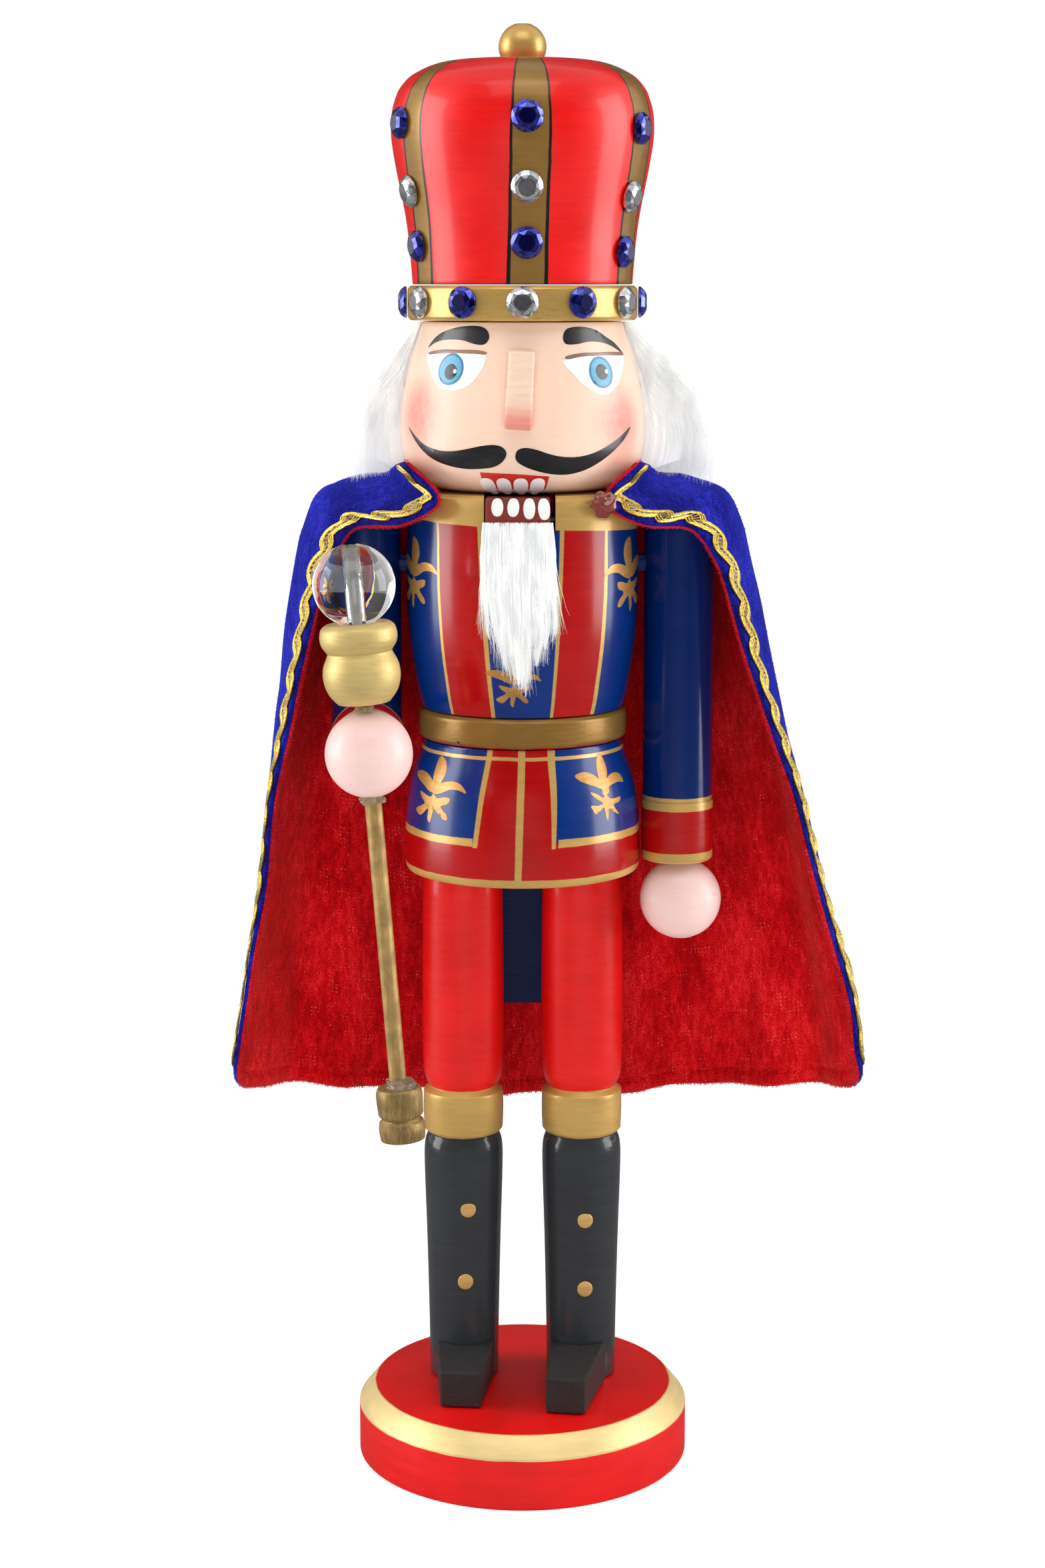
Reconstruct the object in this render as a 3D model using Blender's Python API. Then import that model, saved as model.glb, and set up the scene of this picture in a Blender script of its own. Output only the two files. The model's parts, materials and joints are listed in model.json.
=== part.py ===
"""Nutcracker king: a turned and painted wooden figure with a working jaw lever.

Units are metres and +Z is up. The figure faces -Y, and the origin is the centre
of the base's underside. "Left" and "right" are the figure's own, so its left
side is at +X. Glued pieces keep a small gap so that no two solids touch.
"""

import math

import bmesh
import bpy
from mathutils import Matrix, Vector

# ---------------------------------------------------------------- driving sizes

GLUE_GAP = 0.0003          # between pieces that are glued face to face
TURNED_SIDES = 28          # facets round a large turned piece
LIMB_SIDES = 20            # facets round an arm or a leg
SMALL_SIDES = 16           # facets round a small turned piece
DOWEL_SIDES = 10

BASE_RADIUS = 0.0448
BASE_TOP_RADIUS = 0.0406
BASE_WALL_HEIGHT = 0.0142
BASE_HEIGHT = 0.0193

LEG_SPACING = 0.0322       # between the axes of the two legs
LEG_BACK = 0.0055          # the legs stand this far behind the middle of the base
BOOT_RADIUS = 0.0096
TROUSER_RADIUS = 0.0110
LEG_TENON_RADIUS = 0.0037
LEG_TENON_DEPTH = 0.0090

SKIRT_BOTTOM = 0.1630
SKIRT_TOP = 0.1982
BELT_TOP = 0.2063
TORSO_TOP = 0.2632
TORSO_RADIUS = 0.0304
HEAD_BOTTOM = 0.2636
HEAD_RADIUS = 0.0317
HEAD_TOP = 0.3063
BAND_RADIUS = 0.0296
BAND_TOP = 0.3154
CROWN_TOP = 0.3715
FINIAL_RADIUS = 0.0061
FINIAL_CENTRE = 0.3750

ARM_OFFSET = 0.0411        # from the figure's middle to an arm's axis
ARM_RADIUS = 0.0092
ARM_TOP = 0.2590
CUFF_RADIUS = 0.0095
LEFT_ARM_BOTTOM = 0.1650
ELBOW_HEIGHT = 0.2020
UPPER_ARM_BOTTOM = 0.1925
HAND_RADIUS = 0.0108
LEFT_HAND_CENTRE = Vector((0.0422, 0.0, 0.1542))
RIGHT_HAND_CENTRE = Vector((-0.0376, -0.0570, 0.2025))
SHOULDER_DOWEL_HEIGHT = 0.2440

DOWEL_RADIUS = 0.0025
WAIST_DOWEL_RADIUS = 0.0040

JAW_WIDTH = 0.0162
JAW_MIDDLE = -0.0012       # the lever sits a little to the right of the middle
SLOT_LOW = -0.0097
SLOT_HIGH = 0.0083
SLOT_FLOOR = 0.2320
JAW_FRONT = -0.0314
JAW_TOP = 0.2628
PIVOT = Vector((0.0, 0.0050, 0.2550))
PIVOT_PIN_RADIUS = 0.0015
PIVOT_HOLE_RADIUS = 0.0016
BEARD_HANG = Vector((JAW_MIDDLE, -0.0320, 0.2565))

SCEPTRE_TILT = math.radians(4.5)
ROD_RADIUS = 0.0021
ORB_RADIUS = 0.0101
ORB_HEIGHT = 0.0415        # heights along the sceptre are from the hand's centre
CUP_RADIUS = 0.0095
FERRULE_RADIUS = 0.00585

GEM_RADIUS = 0.0040
GEM_HEIGHT = 0.0021
GEM_SIDES = 8
BAND_GEMS = 12
BAND_GEM_HEIGHT = 0.3112
# each rib of the crown: its direction from the front, in degrees, and how far its
# stones sit above the usual height, because they were glued on by eye
CROWN_RIBS = ((2, 0.0), (61, -0.0020), (121, -0.0008), (-121, 0.0004), (-64, -0.0006))
RIB_GEM_HEIGHTS = (0.3258, 0.3394, 0.3560)

CAPE_THICKNESS = 0.0018
CAPE_HINGE = Vector((0.0, 0.0100, 0.2450))
BRAID_RADIUS = 0.0009
BRAID_INSET = 0.0035       # from the cape's edge to the middle of the braid


# ---------------------------------------------------------------- materials

def paint(name, colour, roughness, metallic=0.0, transmission=0.0):
    """A plain Principled material."""
    material = bpy.data.materials.new(name)
    material.use_nodes = True
    shader = material.node_tree.nodes["Principled BSDF"]
    shader.inputs["Base Color"].default_value = (*colour, 1.0)
    shader.inputs["Roughness"].default_value = roughness
    shader.inputs["Metallic"].default_value = metallic
    shader.inputs["Transmission Weight"].default_value = transmission
    material.diffuse_color = (*colour, 1.0)
    return material


# ---------------------------------------------------------------- shape helpers

def add_object(name, bm, material, parent=None, smooth=True):
    """Close off a bmesh as a named object, shaded smooth round its curves."""
    bmesh.ops.recalc_face_normals(bm, faces=bm.faces)
    mesh = bpy.data.meshes.new(name)
    bm.to_mesh(mesh)
    bm.free()
    if smooth:
        mesh.shade_smooth()
        mesh.set_sharp_from_angle(angle=math.radians(35))
    mesh.materials.append(material)
    thing = bpy.data.objects.new(name, mesh)
    bpy.context.collection.objects.link(thing)
    if parent:
        thing.parent = parent
        thing.matrix_parent_inverse = parent.matrix_world.inverted()
    return thing


def add_empty(name, place, parent=None):
    """An empty on a joint's axis, which carries the pieces that turn about it."""
    empty = bpy.data.objects.new(name, None)
    bpy.context.collection.objects.link(empty)
    empty.location = place
    bpy.context.view_layer.update()
    if parent:
        empty.parent = parent
        empty.matrix_parent_inverse = parent.matrix_world.inverted()
        bpy.context.view_layer.update()
    return empty


def curve_through(points, steps):
    """Points on a smooth curve through the given ones, with steps between each two."""
    knots = [Vector(point) for point in points]
    knots = [2 * knots[0] - knots[1], *knots, 2 * knots[-1] - knots[-2]]
    curve = []
    for before, start, end, after in zip(knots, knots[1:], knots[2:], knots[3:]):
        for step in range(steps):
            t = step / steps
            curve.append(0.5 * (2 * start + (end - before) * t
                                + (2 * before - 5 * start + 4 * end - after) * t * t
                                + (3 * start - before - 3 * end + after) * t ** 3))
    return curve + [knots[-2]]


def rounded(outline, steps):
    """The same outline of (radius, height) pairs with its corners drawn as a curve."""
    return [tuple(point) for point in curve_through(outline, steps)]


def ball(radius, centre, low, high, steps):
    """The part of a ball's outline between two heights."""
    first = math.asin(max(-1.0, (low - centre) / radius))
    last = math.asin(min(1.0, (high - centre) / radius))
    angles = [first + (last - first) * step / steps for step in range(steps + 1)]
    return [(radius * math.cos(angle), centre + radius * math.sin(angle)) for angle in angles]


def turn(name, outline, material, sides=TURNED_SIDES, hollow=False):
    """Turn an outline of (radius, height) pairs about Z, as on a lathe."""
    bm = bmesh.new()
    verts = [bm.verts.new((radius, 0.0, height)) for radius, height in outline]
    edges = [bm.edges.new(pair) for pair in zip(verts, verts[1:])]
    if hollow:
        edges.append(bm.edges.new((verts[-1], verts[0])))
    bmesh.ops.spin(bm, geom=verts + edges, cent=(0, 0, 0), axis=(0, 0, 1),
                   angle=2 * math.pi, steps=sides, use_merge=True)
    bmesh.ops.remove_doubles(bm, verts=bm.verts, dist=1e-6)
    return add_object(name, bm, material)


def solid(outline, low=0.0, high=0.0):
    """An outline closed to the axis at its two ends, at the given heights."""
    return [(0.0, low or outline[0][1]), *outline, (0.0, high or outline[-1][1])]


def cylinder(bm, start, end, radius, sides=DOWEL_SIDES):
    """Add a capped cylinder from start to end."""
    along = end - start
    place = Matrix.Translation((start + end) / 2) @ along.to_track_quat("Z", "Y").to_matrix().to_4x4()
    bmesh.ops.create_cone(bm, cap_ends=True, segments=sides, radius1=radius, radius2=radius,
                          depth=along.length, matrix=place)


def dowel(name, start, end, radius, material):
    """A plain round dowel or pin."""
    bm = bmesh.new()
    cylinder(bm, start, end, radius)
    return add_object(name, bm, material)


def cut_away(target, cutter):
    """Take a hidden cutter's shape out of a piece."""
    cutter.hide_render = True
    cutter.display_type = "WIRE"
    boolean = target.modifiers.new(cutter.name, "BOOLEAN")
    boolean.operation = "DIFFERENCE"
    boolean.solver = "EXACT"
    boolean.object = cutter


def drill(target, start, end, radius, sides=DOWEL_SIDES):
    """Drill a round hole from start to end."""
    bm = bmesh.new()
    cylinder(bm, start, end, radius, sides)
    cut_away(target, add_object(f"{target.name}_drill", bm, CUTTER))


def plate(name, outline, low, high, material, parent=None):
    """Extrude an outline of (y, z) pairs along X, from low to high."""
    bm = bmesh.new()
    face = bm.faces.new([bm.verts.new((low, y, z)) for y, z in outline])
    side = bmesh.ops.extrude_face_region(bm, geom=[face])
    moved = [item for item in side["geom"] if isinstance(item, bmesh.types.BMVert)]
    bmesh.ops.translate(bm, verts=moved, vec=(high - low, 0, 0))
    ends = [face for face in bm.faces if len(face.verts) > 4]
    bmesh.ops.triangulate(bm, faces=ends)
    return add_object(name, bm, material, parent, smooth=False)


def block(name, bottom, top, material):
    """A six-sided block between two four-cornered faces."""
    bm = bmesh.new()
    loops = [[bm.verts.new(corner) for corner in corners] for corners in (bottom, top)]
    bm.faces.new(loops[0])
    bm.faces.new(loops[1])
    for corner in range(4):
        following = (corner + 1) % 4
        bm.faces.new((loops[0][corner], loops[0][following], loops[1][following], loops[1][corner]))
    return add_object(name, bm, material, smooth=False)


def ease_edges(target, width, segments=2):
    """Sand the sharp edges of a sawn piece."""
    bevel = target.modifiers.new("eased_edges", "BEVEL")
    bevel.width = width
    bevel.segments = segments
    bevel.limit_method = "ANGLE"
    bevel.angle_limit = math.radians(40)


def loft(name, loops, material, parent=None):
    """Skin a row of closed loops of equal length, and cap both ends."""
    bm = bmesh.new()
    rows = [[bm.verts.new(point) for point in loop] for loop in loops]
    for row, following in zip(rows, rows[1:]):
        for index in range(len(row)):
            after = (index + 1) % len(row)
            bm.faces.new((row[index], row[after], following[after], following[index]))
    for end in (rows[0], rows[-1]):
        bmesh.ops.triangulate(bm, faces=[bm.faces.new(end)])
    return add_object(name, bm, material, parent)


def round_the_front(degrees, radius, height):
    """A point at an angle from the figure's front, which is -Y, towards its left."""
    angle = math.radians(degrees)
    return Vector((radius * math.sin(angle), -radius * math.cos(angle), height))


# ---------------------------------------------------------------- base and legs

def make_base():
    wall = [(BASE_RADIUS - 0.0006, 0.0), (BASE_RADIUS, 0.0006),
            (BASE_RADIUS, BASE_WALL_HEIGHT), (BASE_TOP_RADIUS, BASE_HEIGHT)]
    base = turn("base_disc", solid(wall), RED, sides=40)
    for side in (-1, 1):
        foot = Vector((side * LEG_SPACING / 2, LEG_BACK, 0))
        drill(base, foot + Vector((0, 0, BASE_HEIGHT - LEG_TENON_DEPTH - GLUE_GAP)),
              foot + Vector((0, 0, BASE_HEIGHT + 0.002)), LEG_TENON_RADIUS + GLUE_GAP)
    return base


def leg_outline():
    """Tenon, boot, knee band and trouser leg, turned in one piece."""
    foot = BASE_HEIGHT + GLUE_GAP
    tenon = [(LEG_TENON_RADIUS, BASE_HEIGHT - LEG_TENON_DEPTH), (LEG_TENON_RADIUS, foot)]
    boot = [(BOOT_RADIUS - 0.0002, foot), (BOOT_RADIUS, 0.036), (BOOT_RADIUS + 0.0005, 0.0587),
            (0.0107, 0.0790), (0.0105, 0.0855), (0.0095, 0.0884)]
    knee_band = [(0.0107, 0.0894), (0.0109, 0.0950), (0.0108, 0.1002), (0.0092, 0.1013)]
    trouser = [(0.0094, 0.1019), (0.0105, 0.1045), (0.0109, 0.1098), (TROUSER_RADIUS, 0.1300),
               (0.0107, SKIRT_BOTTOM - GLUE_GAP)]
    upper_tenon = [(0.0045, SKIRT_BOTTOM - GLUE_GAP), (0.0045, SKIRT_BOTTOM + 0.009)]
    return solid(tenon + boot + knee_band + trouser + upper_tenon)


def make_legs():
    for name, side in (("right_leg", -1), ("left_leg", 1)):
        leg = turn(name, leg_outline(), RED, LIMB_SIDES)
        leg.location.x = side * LEG_SPACING / 2
        leg.location.y = LEG_BACK


def make_shoe(name, side, toe_y, toe_low_x, toe_high_x, heel_low_x, heel_high_x, turn_in):
    """A sawn wedge, hollowed at the back to fit round the boot."""
    sole = BASE_HEIGHT + GLUE_GAP
    heel_y = LEG_BACK - 0.0010
    toe_top = 0.0294
    heel_top = 0.0306
    bottom = [(toe_low_x, toe_y, sole), (toe_high_x, toe_y - turn_in, sole),
              (heel_high_x, heel_y, sole), (heel_low_x, heel_y, sole)]
    heights = (toe_top, toe_top, heel_top, heel_top)
    top = [(x, y, height) for (x, y, _), height in zip(bottom, heights)]
    shoe = block(name, bottom, top, SHOE_BLACK)
    ease_edges(shoe, 0.0006)
    leg_axis = Vector((side * LEG_SPACING / 2, LEG_BACK, 0))
    drill(shoe, leg_axis + Vector((0, 0, sole - 0.002)), leg_axis + Vector((0, 0, heel_top + 0.002)),
          BOOT_RADIUS + 0.0005, LIMB_SIDES)


# ---------------------------------------------------------------- body

def lever_outline():
    """Side view of the lever as (y, z) pairs: jaw, rounded shoulder and long tail."""
    shoulder = rounded([(-0.0060, JAW_TOP), (0.0060, 0.2621), (0.0170, 0.2583),
                        (0.0245, 0.2490), (0.0280, 0.2350)], 2)
    outer_tail = [(0.0295, 0.2050), (0.0320, 0.1650), (0.0355, 0.1215), (0.0345, 0.1180)]
    inner_tail = [(0.0283, 0.1180), (0.0235, 0.1650), (0.0192, 0.2050)]
    underside = rounded([(0.0170, 0.2270), (0.0115, 0.2400), (0.0, 0.2470), (-0.0150, 0.2500)], 2)
    jaw = [(JAW_FRONT, 0.2500), (JAW_FRONT, JAW_TOP)]
    return shoulder + outer_tail + inner_tail + underside + jaw


def groove_outline():
    """Side view of the room the lever needs, as (y, z) pairs."""
    outside = 0.06
    return [(-outside, SLOT_FLOOR), (0.0050, SLOT_FLOOR), (0.0135, 0.2230), (0.0180, 0.2050),
            (0.0223, 0.1650), (0.0228, 0.1500), (outside, 0.1500), (outside, TORSO_TOP + 0.01),
            (-outside, TORSO_TOP + 0.01)]


def make_groove():
    """The saw cut for the lever, shared by the torso, the belt and the skirt."""
    return plate("lever_groove", groove_outline(), SLOT_LOW, SLOT_HIGH, CUTTER)


def make_skirt(groove):
    shape = [(0.0302, SKIRT_BOTTOM), (0.0309, SKIRT_BOTTOM + 0.0008), (0.0312, 0.1663), (0.0311, 0.1735),
             (0.0305, 0.1808), (0.0293, 0.1880), (0.0269, 0.1951), (0.0262, SKIRT_TOP)]
    skirt = turn("tunic_skirt", solid(shape), RED)
    cut_away(skirt, groove)
    for side in (-1, 1):
        top_of_leg = Vector((side * LEG_SPACING / 2, LEG_BACK, SKIRT_BOTTOM))
        drill(skirt, top_of_leg - Vector((0, 0, 0.003)), top_of_leg + Vector((0, 0, 0.0094)), 0.0048)
    drill(skirt, waist(0.1870), waist(SKIRT_TOP + 0.003), WAIST_DOWEL_RADIUS + GLUE_GAP)


def waist(height):
    """A point on the waist dowel's axis, which stands in front of the lever's tail."""
    return Vector((0, -0.0060, height))


def make_belt(groove):
    edge = 0.0009
    low = SKIRT_TOP + GLUE_GAP
    shape = [(0.0274 - edge, low), (0.0274, low + edge), (0.0275, (low + BELT_TOP) / 2),
             (0.0274, BELT_TOP - edge), (0.0274 - edge, BELT_TOP)]
    belt = turn("belt", solid(shape), GOLD)
    cut_away(belt, groove)
    drill(belt, waist(low - 0.003), waist(BELT_TOP + 0.003), WAIST_DOWEL_RADIUS + GLUE_GAP)


def make_torso(groove):
    low = BELT_TOP + GLUE_GAP
    chest = [(0.0266, low), (0.0276, 0.2105), (0.0283, 0.2147), (0.0296, 0.2235), (0.0303, 0.2341),
             (TORSO_RADIUS, 0.2429), (0.0301, 0.2533)]
    collar = [(0.0302, 0.2570), (0.0301, 0.2600), (0.0295, 0.2622), (0.0282, TORSO_TOP)]
    torso = turn("torso", solid(chest + collar), NAVY)
    cut_away(torso, groove)
    drill(torso, waist(low - 0.003), waist(0.2174), WAIST_DOWEL_RADIUS + GLUE_GAP)
    drill(torso, PIVOT - Vector((0.036, 0, 0)), PIVOT + Vector((0.0222, 0, 0)),
          PIVOT_PIN_RADIUS + GLUE_GAP)
    for side in (-1, 1):
        drill(torso, Vector((side * 0.0230, 0, SHOULDER_DOWEL_HEIGHT)),
              Vector((side * 0.0360, 0, SHOULDER_DOWEL_HEIGHT)), DOWEL_RADIUS + GLUE_GAP)


def make_body():
    groove = make_groove()
    make_skirt(groove)
    make_belt(groove)
    make_torso(groove)
    dowel("waist_dowel", waist(0.1875), waist(0.2169), WAIST_DOWEL_RADIUS, BARE_WOOD)
    dowel("pivot_pin", PIVOT - Vector((0.0285, 0, 0)), PIVOT + Vector((0.0217, 0, 0)),
          PIVOT_PIN_RADIUS, STEEL)


def make_lever(pivot_empty):
    middle = JAW_MIDDLE
    lever = plate("jaw_lever", lever_outline(), middle - JAW_WIDTH / 2, middle + JAW_WIDTH / 2,
                  JAW_BROWN, pivot_empty)
    ease_edges(lever, 0.0005)
    drill(lever, PIVOT - Vector((0.015, 0, 0)), PIVOT + Vector((0.015, 0, 0)), PIVOT_HOLE_RADIUS)


# ---------------------------------------------------------------- head and crown

def make_head():
    face = [(0.0214, HEAD_BOTTOM), (0.0242, 0.2644), (0.0262, 0.2657), (0.0284, 0.2676), (0.0301, 0.2700),
            (0.0314, 0.2740), (HEAD_RADIUS, 0.2793), (0.0313, 0.2850), (0.0303, 0.2910),
            (0.0290, 0.2964), (0.0270, 0.3025), (0.0258, HEAD_TOP)]
    turn("head", solid(face), SKIN)


def make_nose():
    """A sawn block glued to the face, a little askew."""
    face_top = -0.0295
    face_bottom = -0.0320
    back = [(-0.0045, face_bottom, 0.2800), (0.0022, face_bottom, 0.2796),
            (0.0031, face_top, 0.2994), (-0.0033, face_top, 0.2997)]
    front = [(-0.0045, face_bottom - 0.0046, 0.2815), (0.0022, face_bottom - 0.0046, 0.2811),
             (0.0031, face_top - 0.0030, 0.2992), (-0.0033, face_top - 0.0030, 0.2995)]
    ease_edges(block("nose", back, front, SKIN), 0.0006)


def crown_outline():
    """The crown's side, from its foot to its flat top, as (radius, height) pairs."""
    return [(0.0283, BAND_TOP + GLUE_GAP), (0.0287, 0.3210), (0.0293, 0.3277), (0.0303, 0.3345),
            (0.0323, 0.3445), (0.0334, 0.3512), (0.0336, 0.3550), (0.0333, 0.3590), (0.0322, 0.3628),
            (0.0312, 0.3648), (0.0290, 0.3673), (0.0264, 0.3689), (0.0235, 0.3702), (0.0200, 0.3711),
            (0.0150, CROWN_TOP)]


def crown_radius(height):
    """The crown's radius at a height on its side."""
    side = crown_outline()
    for (low_radius, low), (high_radius, high) in zip(side, side[1:]):
        if low <= height <= high:
            return low_radius + (high_radius - low_radius) * (height - low) / (high - low)
    return side[0][0]


def make_crown():
    low = HEAD_TOP + GLUE_GAP
    edge = 0.0008
    band = [(BAND_RADIUS - edge, low), (BAND_RADIUS, low + edge), (BAND_RADIUS, BAND_TOP - edge),
            (BAND_RADIUS - edge, BAND_TOP)]
    turn("crown_band", solid(band), GOLD)
    crown = turn("crown", solid(crown_outline()), RED)
    peg_bottom = CROWN_TOP - 0.006
    axis = Vector((0, 0, 1))
    drill(crown, axis * (peg_bottom - GLUE_GAP), axis * (CROWN_TOP + 0.002), DOWEL_RADIUS + GLUE_GAP)
    seat = CROWN_TOP + GLUE_GAP
    knob = ball(FINIAL_RADIUS, FINIAL_CENTRE, seat, FINIAL_CENTRE + FINIAL_RADIUS, 6)[:-1]
    turn("crown_finial", solid([(DOWEL_RADIUS, peg_bottom), (DOWEL_RADIUS, seat), *knob],
                               high=FINIAL_CENTRE + FINIAL_RADIUS), GOLD, SMALL_SIDES)


def gem(name, place, outward, material):
    """A round stick-on stone: flat back, straight girdle, cut crown and flat table."""
    girdle = GEM_HEIGHT * 0.25
    rings = ((GEM_RADIUS, 0.0), (GEM_RADIUS, girdle), (GEM_RADIUS * 0.80, GEM_HEIGHT * 0.75),
             (GEM_RADIUS * 0.45, GEM_HEIGHT))
    bm = bmesh.new()
    loops = []
    for level, (radius, height) in enumerate(rings):
        twist = math.pi / GEM_SIDES * max(0, level - 1)
        angles = [2 * math.pi * corner / GEM_SIDES + twist for corner in range(GEM_SIDES)]
        loops.append([bm.verts.new((radius * math.cos(angle), radius * math.sin(angle), height))
                      for angle in angles])
    for loop in (loops[0], loops[-1]):
        bm.faces.new(loop)
    for low, high in zip(loops, loops[1:]):
        for corner in range(GEM_SIDES):
            after = (corner + 1) % GEM_SIDES
            bm.faces.new((low[corner], low[after], high[after]))
            bm.faces.new((low[corner], high[after], high[corner]))
    stone = add_object(name, bm, material, smooth=False)
    stone.location = place + outward * GLUE_GAP
    stone.rotation_mode = "QUATERNION"
    stone.rotation_quaternion = outward.to_track_quat("Z", "Y")


def make_gems():
    for number in range(BAND_GEMS):
        degrees = number * 360 / BAND_GEMS
        outward = round_the_front(degrees, 1.0, 0.0)
        place = round_the_front(degrees, BAND_RADIUS, BAND_GEM_HEIGHT)
        gem(f"band_gem_{number + 1}", place, outward, BLUE_STONE if number % 2 else CLEAR_STONE)
    for rib, (degrees, raised) in enumerate(CROWN_RIBS, 1):
        for row, height in enumerate(RIB_GEM_HEIGHTS, 1):
            height += raised
            slope = (crown_radius(height + 0.003) - crown_radius(height - 0.003)) / 0.006
            outward = round_the_front(degrees, 1.0, -slope).normalized()
            place = round_the_front(degrees, crown_radius(height), height)
            gem(f"rib_{rib}_gem_{row}", place, outward, CLEAR_STONE if row == 2 else BLUE_STONE)


# ---------------------------------------------------------------- arms and sceptre

def arm_top():
    """The rounded shoulder of an arm, as (radius, height) pairs."""
    return [(ARM_RADIUS, ARM_TOP - 0.0060), (ARM_RADIUS - 0.0005, ARM_TOP - 0.0032),
            (ARM_RADIUS - 0.0020, ARM_TOP - 0.0012), (ARM_RADIUS - 0.0045, ARM_TOP - 0.0002)]


def make_left_arm():
    low = LEFT_ARM_BOTTOM
    cuff = [(CUFF_RADIUS - 0.0008, low), (CUFF_RADIUS, low + 0.0008), (CUFF_RADIUS, low + 0.0165),
            (ARM_RADIUS, low + 0.0173)]
    arm = turn("left_arm", solid(cuff + [(ARM_RADIUS, 0.2200)] + arm_top(), high=ARM_TOP), NAVY,
               LIMB_SIDES)
    arm.location.x = ARM_OFFSET
    hang_hand_under(low - 0.0006)
    shoulder = Vector((0, 0, SHOULDER_DOWEL_HEIGHT))
    out = Vector((1, 0, 0))
    drill(arm, shoulder + out * (ARM_OFFSET - 0.012), shoulder + out * (ARM_OFFSET - 0.002),
          DOWEL_RADIUS + GLUE_GAP)
    dowel("left_shoulder_dowel", shoulder + out * 0.0235, shoulder + out * (ARM_OFFSET - 0.0025),
          DOWEL_RADIUS, BARE_WOOD)


def hang_hand_under(cuff_end):
    """The left hand, a ball with a flat on top where it meets the cuff."""
    centre = LEFT_HAND_CENTRE
    flat = cuff_end - centre.z
    hand = turn("left_hand", solid(ball(HAND_RADIUS, 0.0, -HAND_RADIUS, flat, 9)[1:],
                                   low=-HAND_RADIUS), SKIN, SMALL_SIDES)
    hand.location = centre


def make_right_arm(sceptre_axis):
    arm = turn("right_upper_arm",
               solid([(0.0060, UPPER_ARM_BOTTOM), (0.0084, UPPER_ARM_BOTTOM + 0.0010),
                      (ARM_RADIUS, UPPER_ARM_BOTTOM + 0.0032), (ARM_RADIUS, 0.2200)] + arm_top(),
                     high=ARM_TOP), NAVY, LIMB_SIDES)
    arm.location.x = -ARM_OFFSET
    shoulder = Vector((0, 0, SHOULDER_DOWEL_HEIGHT))
    inward = Vector((-1, 0, 0))
    drill(arm, shoulder + inward * (ARM_OFFSET - 0.012), shoulder + inward * (ARM_OFFSET - 0.002),
          DOWEL_RADIUS + GLUE_GAP)
    dowel("right_shoulder_dowel", shoulder + inward * 0.0235,
          shoulder + inward * (ARM_OFFSET - 0.0025), DOWEL_RADIUS, BARE_WOOD)

    elbow = Vector((-ARM_OFFSET, 0, ELBOW_HEIGHT))
    forward = (RIGHT_HAND_CENTRE - elbow).normalized()
    reach = (RIGHT_HAND_CENTRE - elbow).length - HAND_RADIUS + 0.0008
    cuff_start = reach - 0.0173
    sleeve = [(ARM_RADIUS - 0.0004, 0.0030), (ARM_RADIUS - 0.0004, cuff_start),
              (CUFF_RADIUS, cuff_start + 0.0008), (CUFF_RADIUS, reach - 0.0008),
              (CUFF_RADIUS - 0.0008, reach)]
    forearm = turn("right_forearm", solid(sleeve), NAVY, LIMB_SIDES)
    forearm.location = elbow
    forearm.rotation_mode = "QUATERNION"
    forearm.rotation_quaternion = forward.to_track_quat("Z", "Y")
    drill(forearm, elbow - Vector((0, 0, 0.03)), elbow + Vector((0, 0, 0.03)),
          ARM_RADIUS + 2 * GLUE_GAP, LIMB_SIDES)
    for piece in (arm, forearm):
        drill(piece, elbow + forward * 0.0030, elbow + forward * 0.0200, DOWEL_RADIUS + GLUE_GAP)
    dowel("right_elbow_dowel", elbow + forward * 0.0035, elbow + forward * 0.0195,
          DOWEL_RADIUS, BARE_WOOD)

    flat = reach - (RIGHT_HAND_CENTRE - elbow).length + 0.0006
    hand = turn("right_hand", solid(ball(HAND_RADIUS, 0.0, flat, HAND_RADIUS, 9)[:-1],
                                    high=HAND_RADIUS), SKIN, SMALL_SIDES)
    hand.location = RIGHT_HAND_CENTRE
    hand.rotation_mode = "QUATERNION"
    hand.rotation_quaternion = forward.to_track_quat("Z", "Y")
    drill(hand, RIGHT_HAND_CENTRE - sceptre_axis * 0.015, RIGHT_HAND_CENTRE + sceptre_axis * 0.015,
          ROD_RADIUS + GLUE_GAP)


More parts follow.
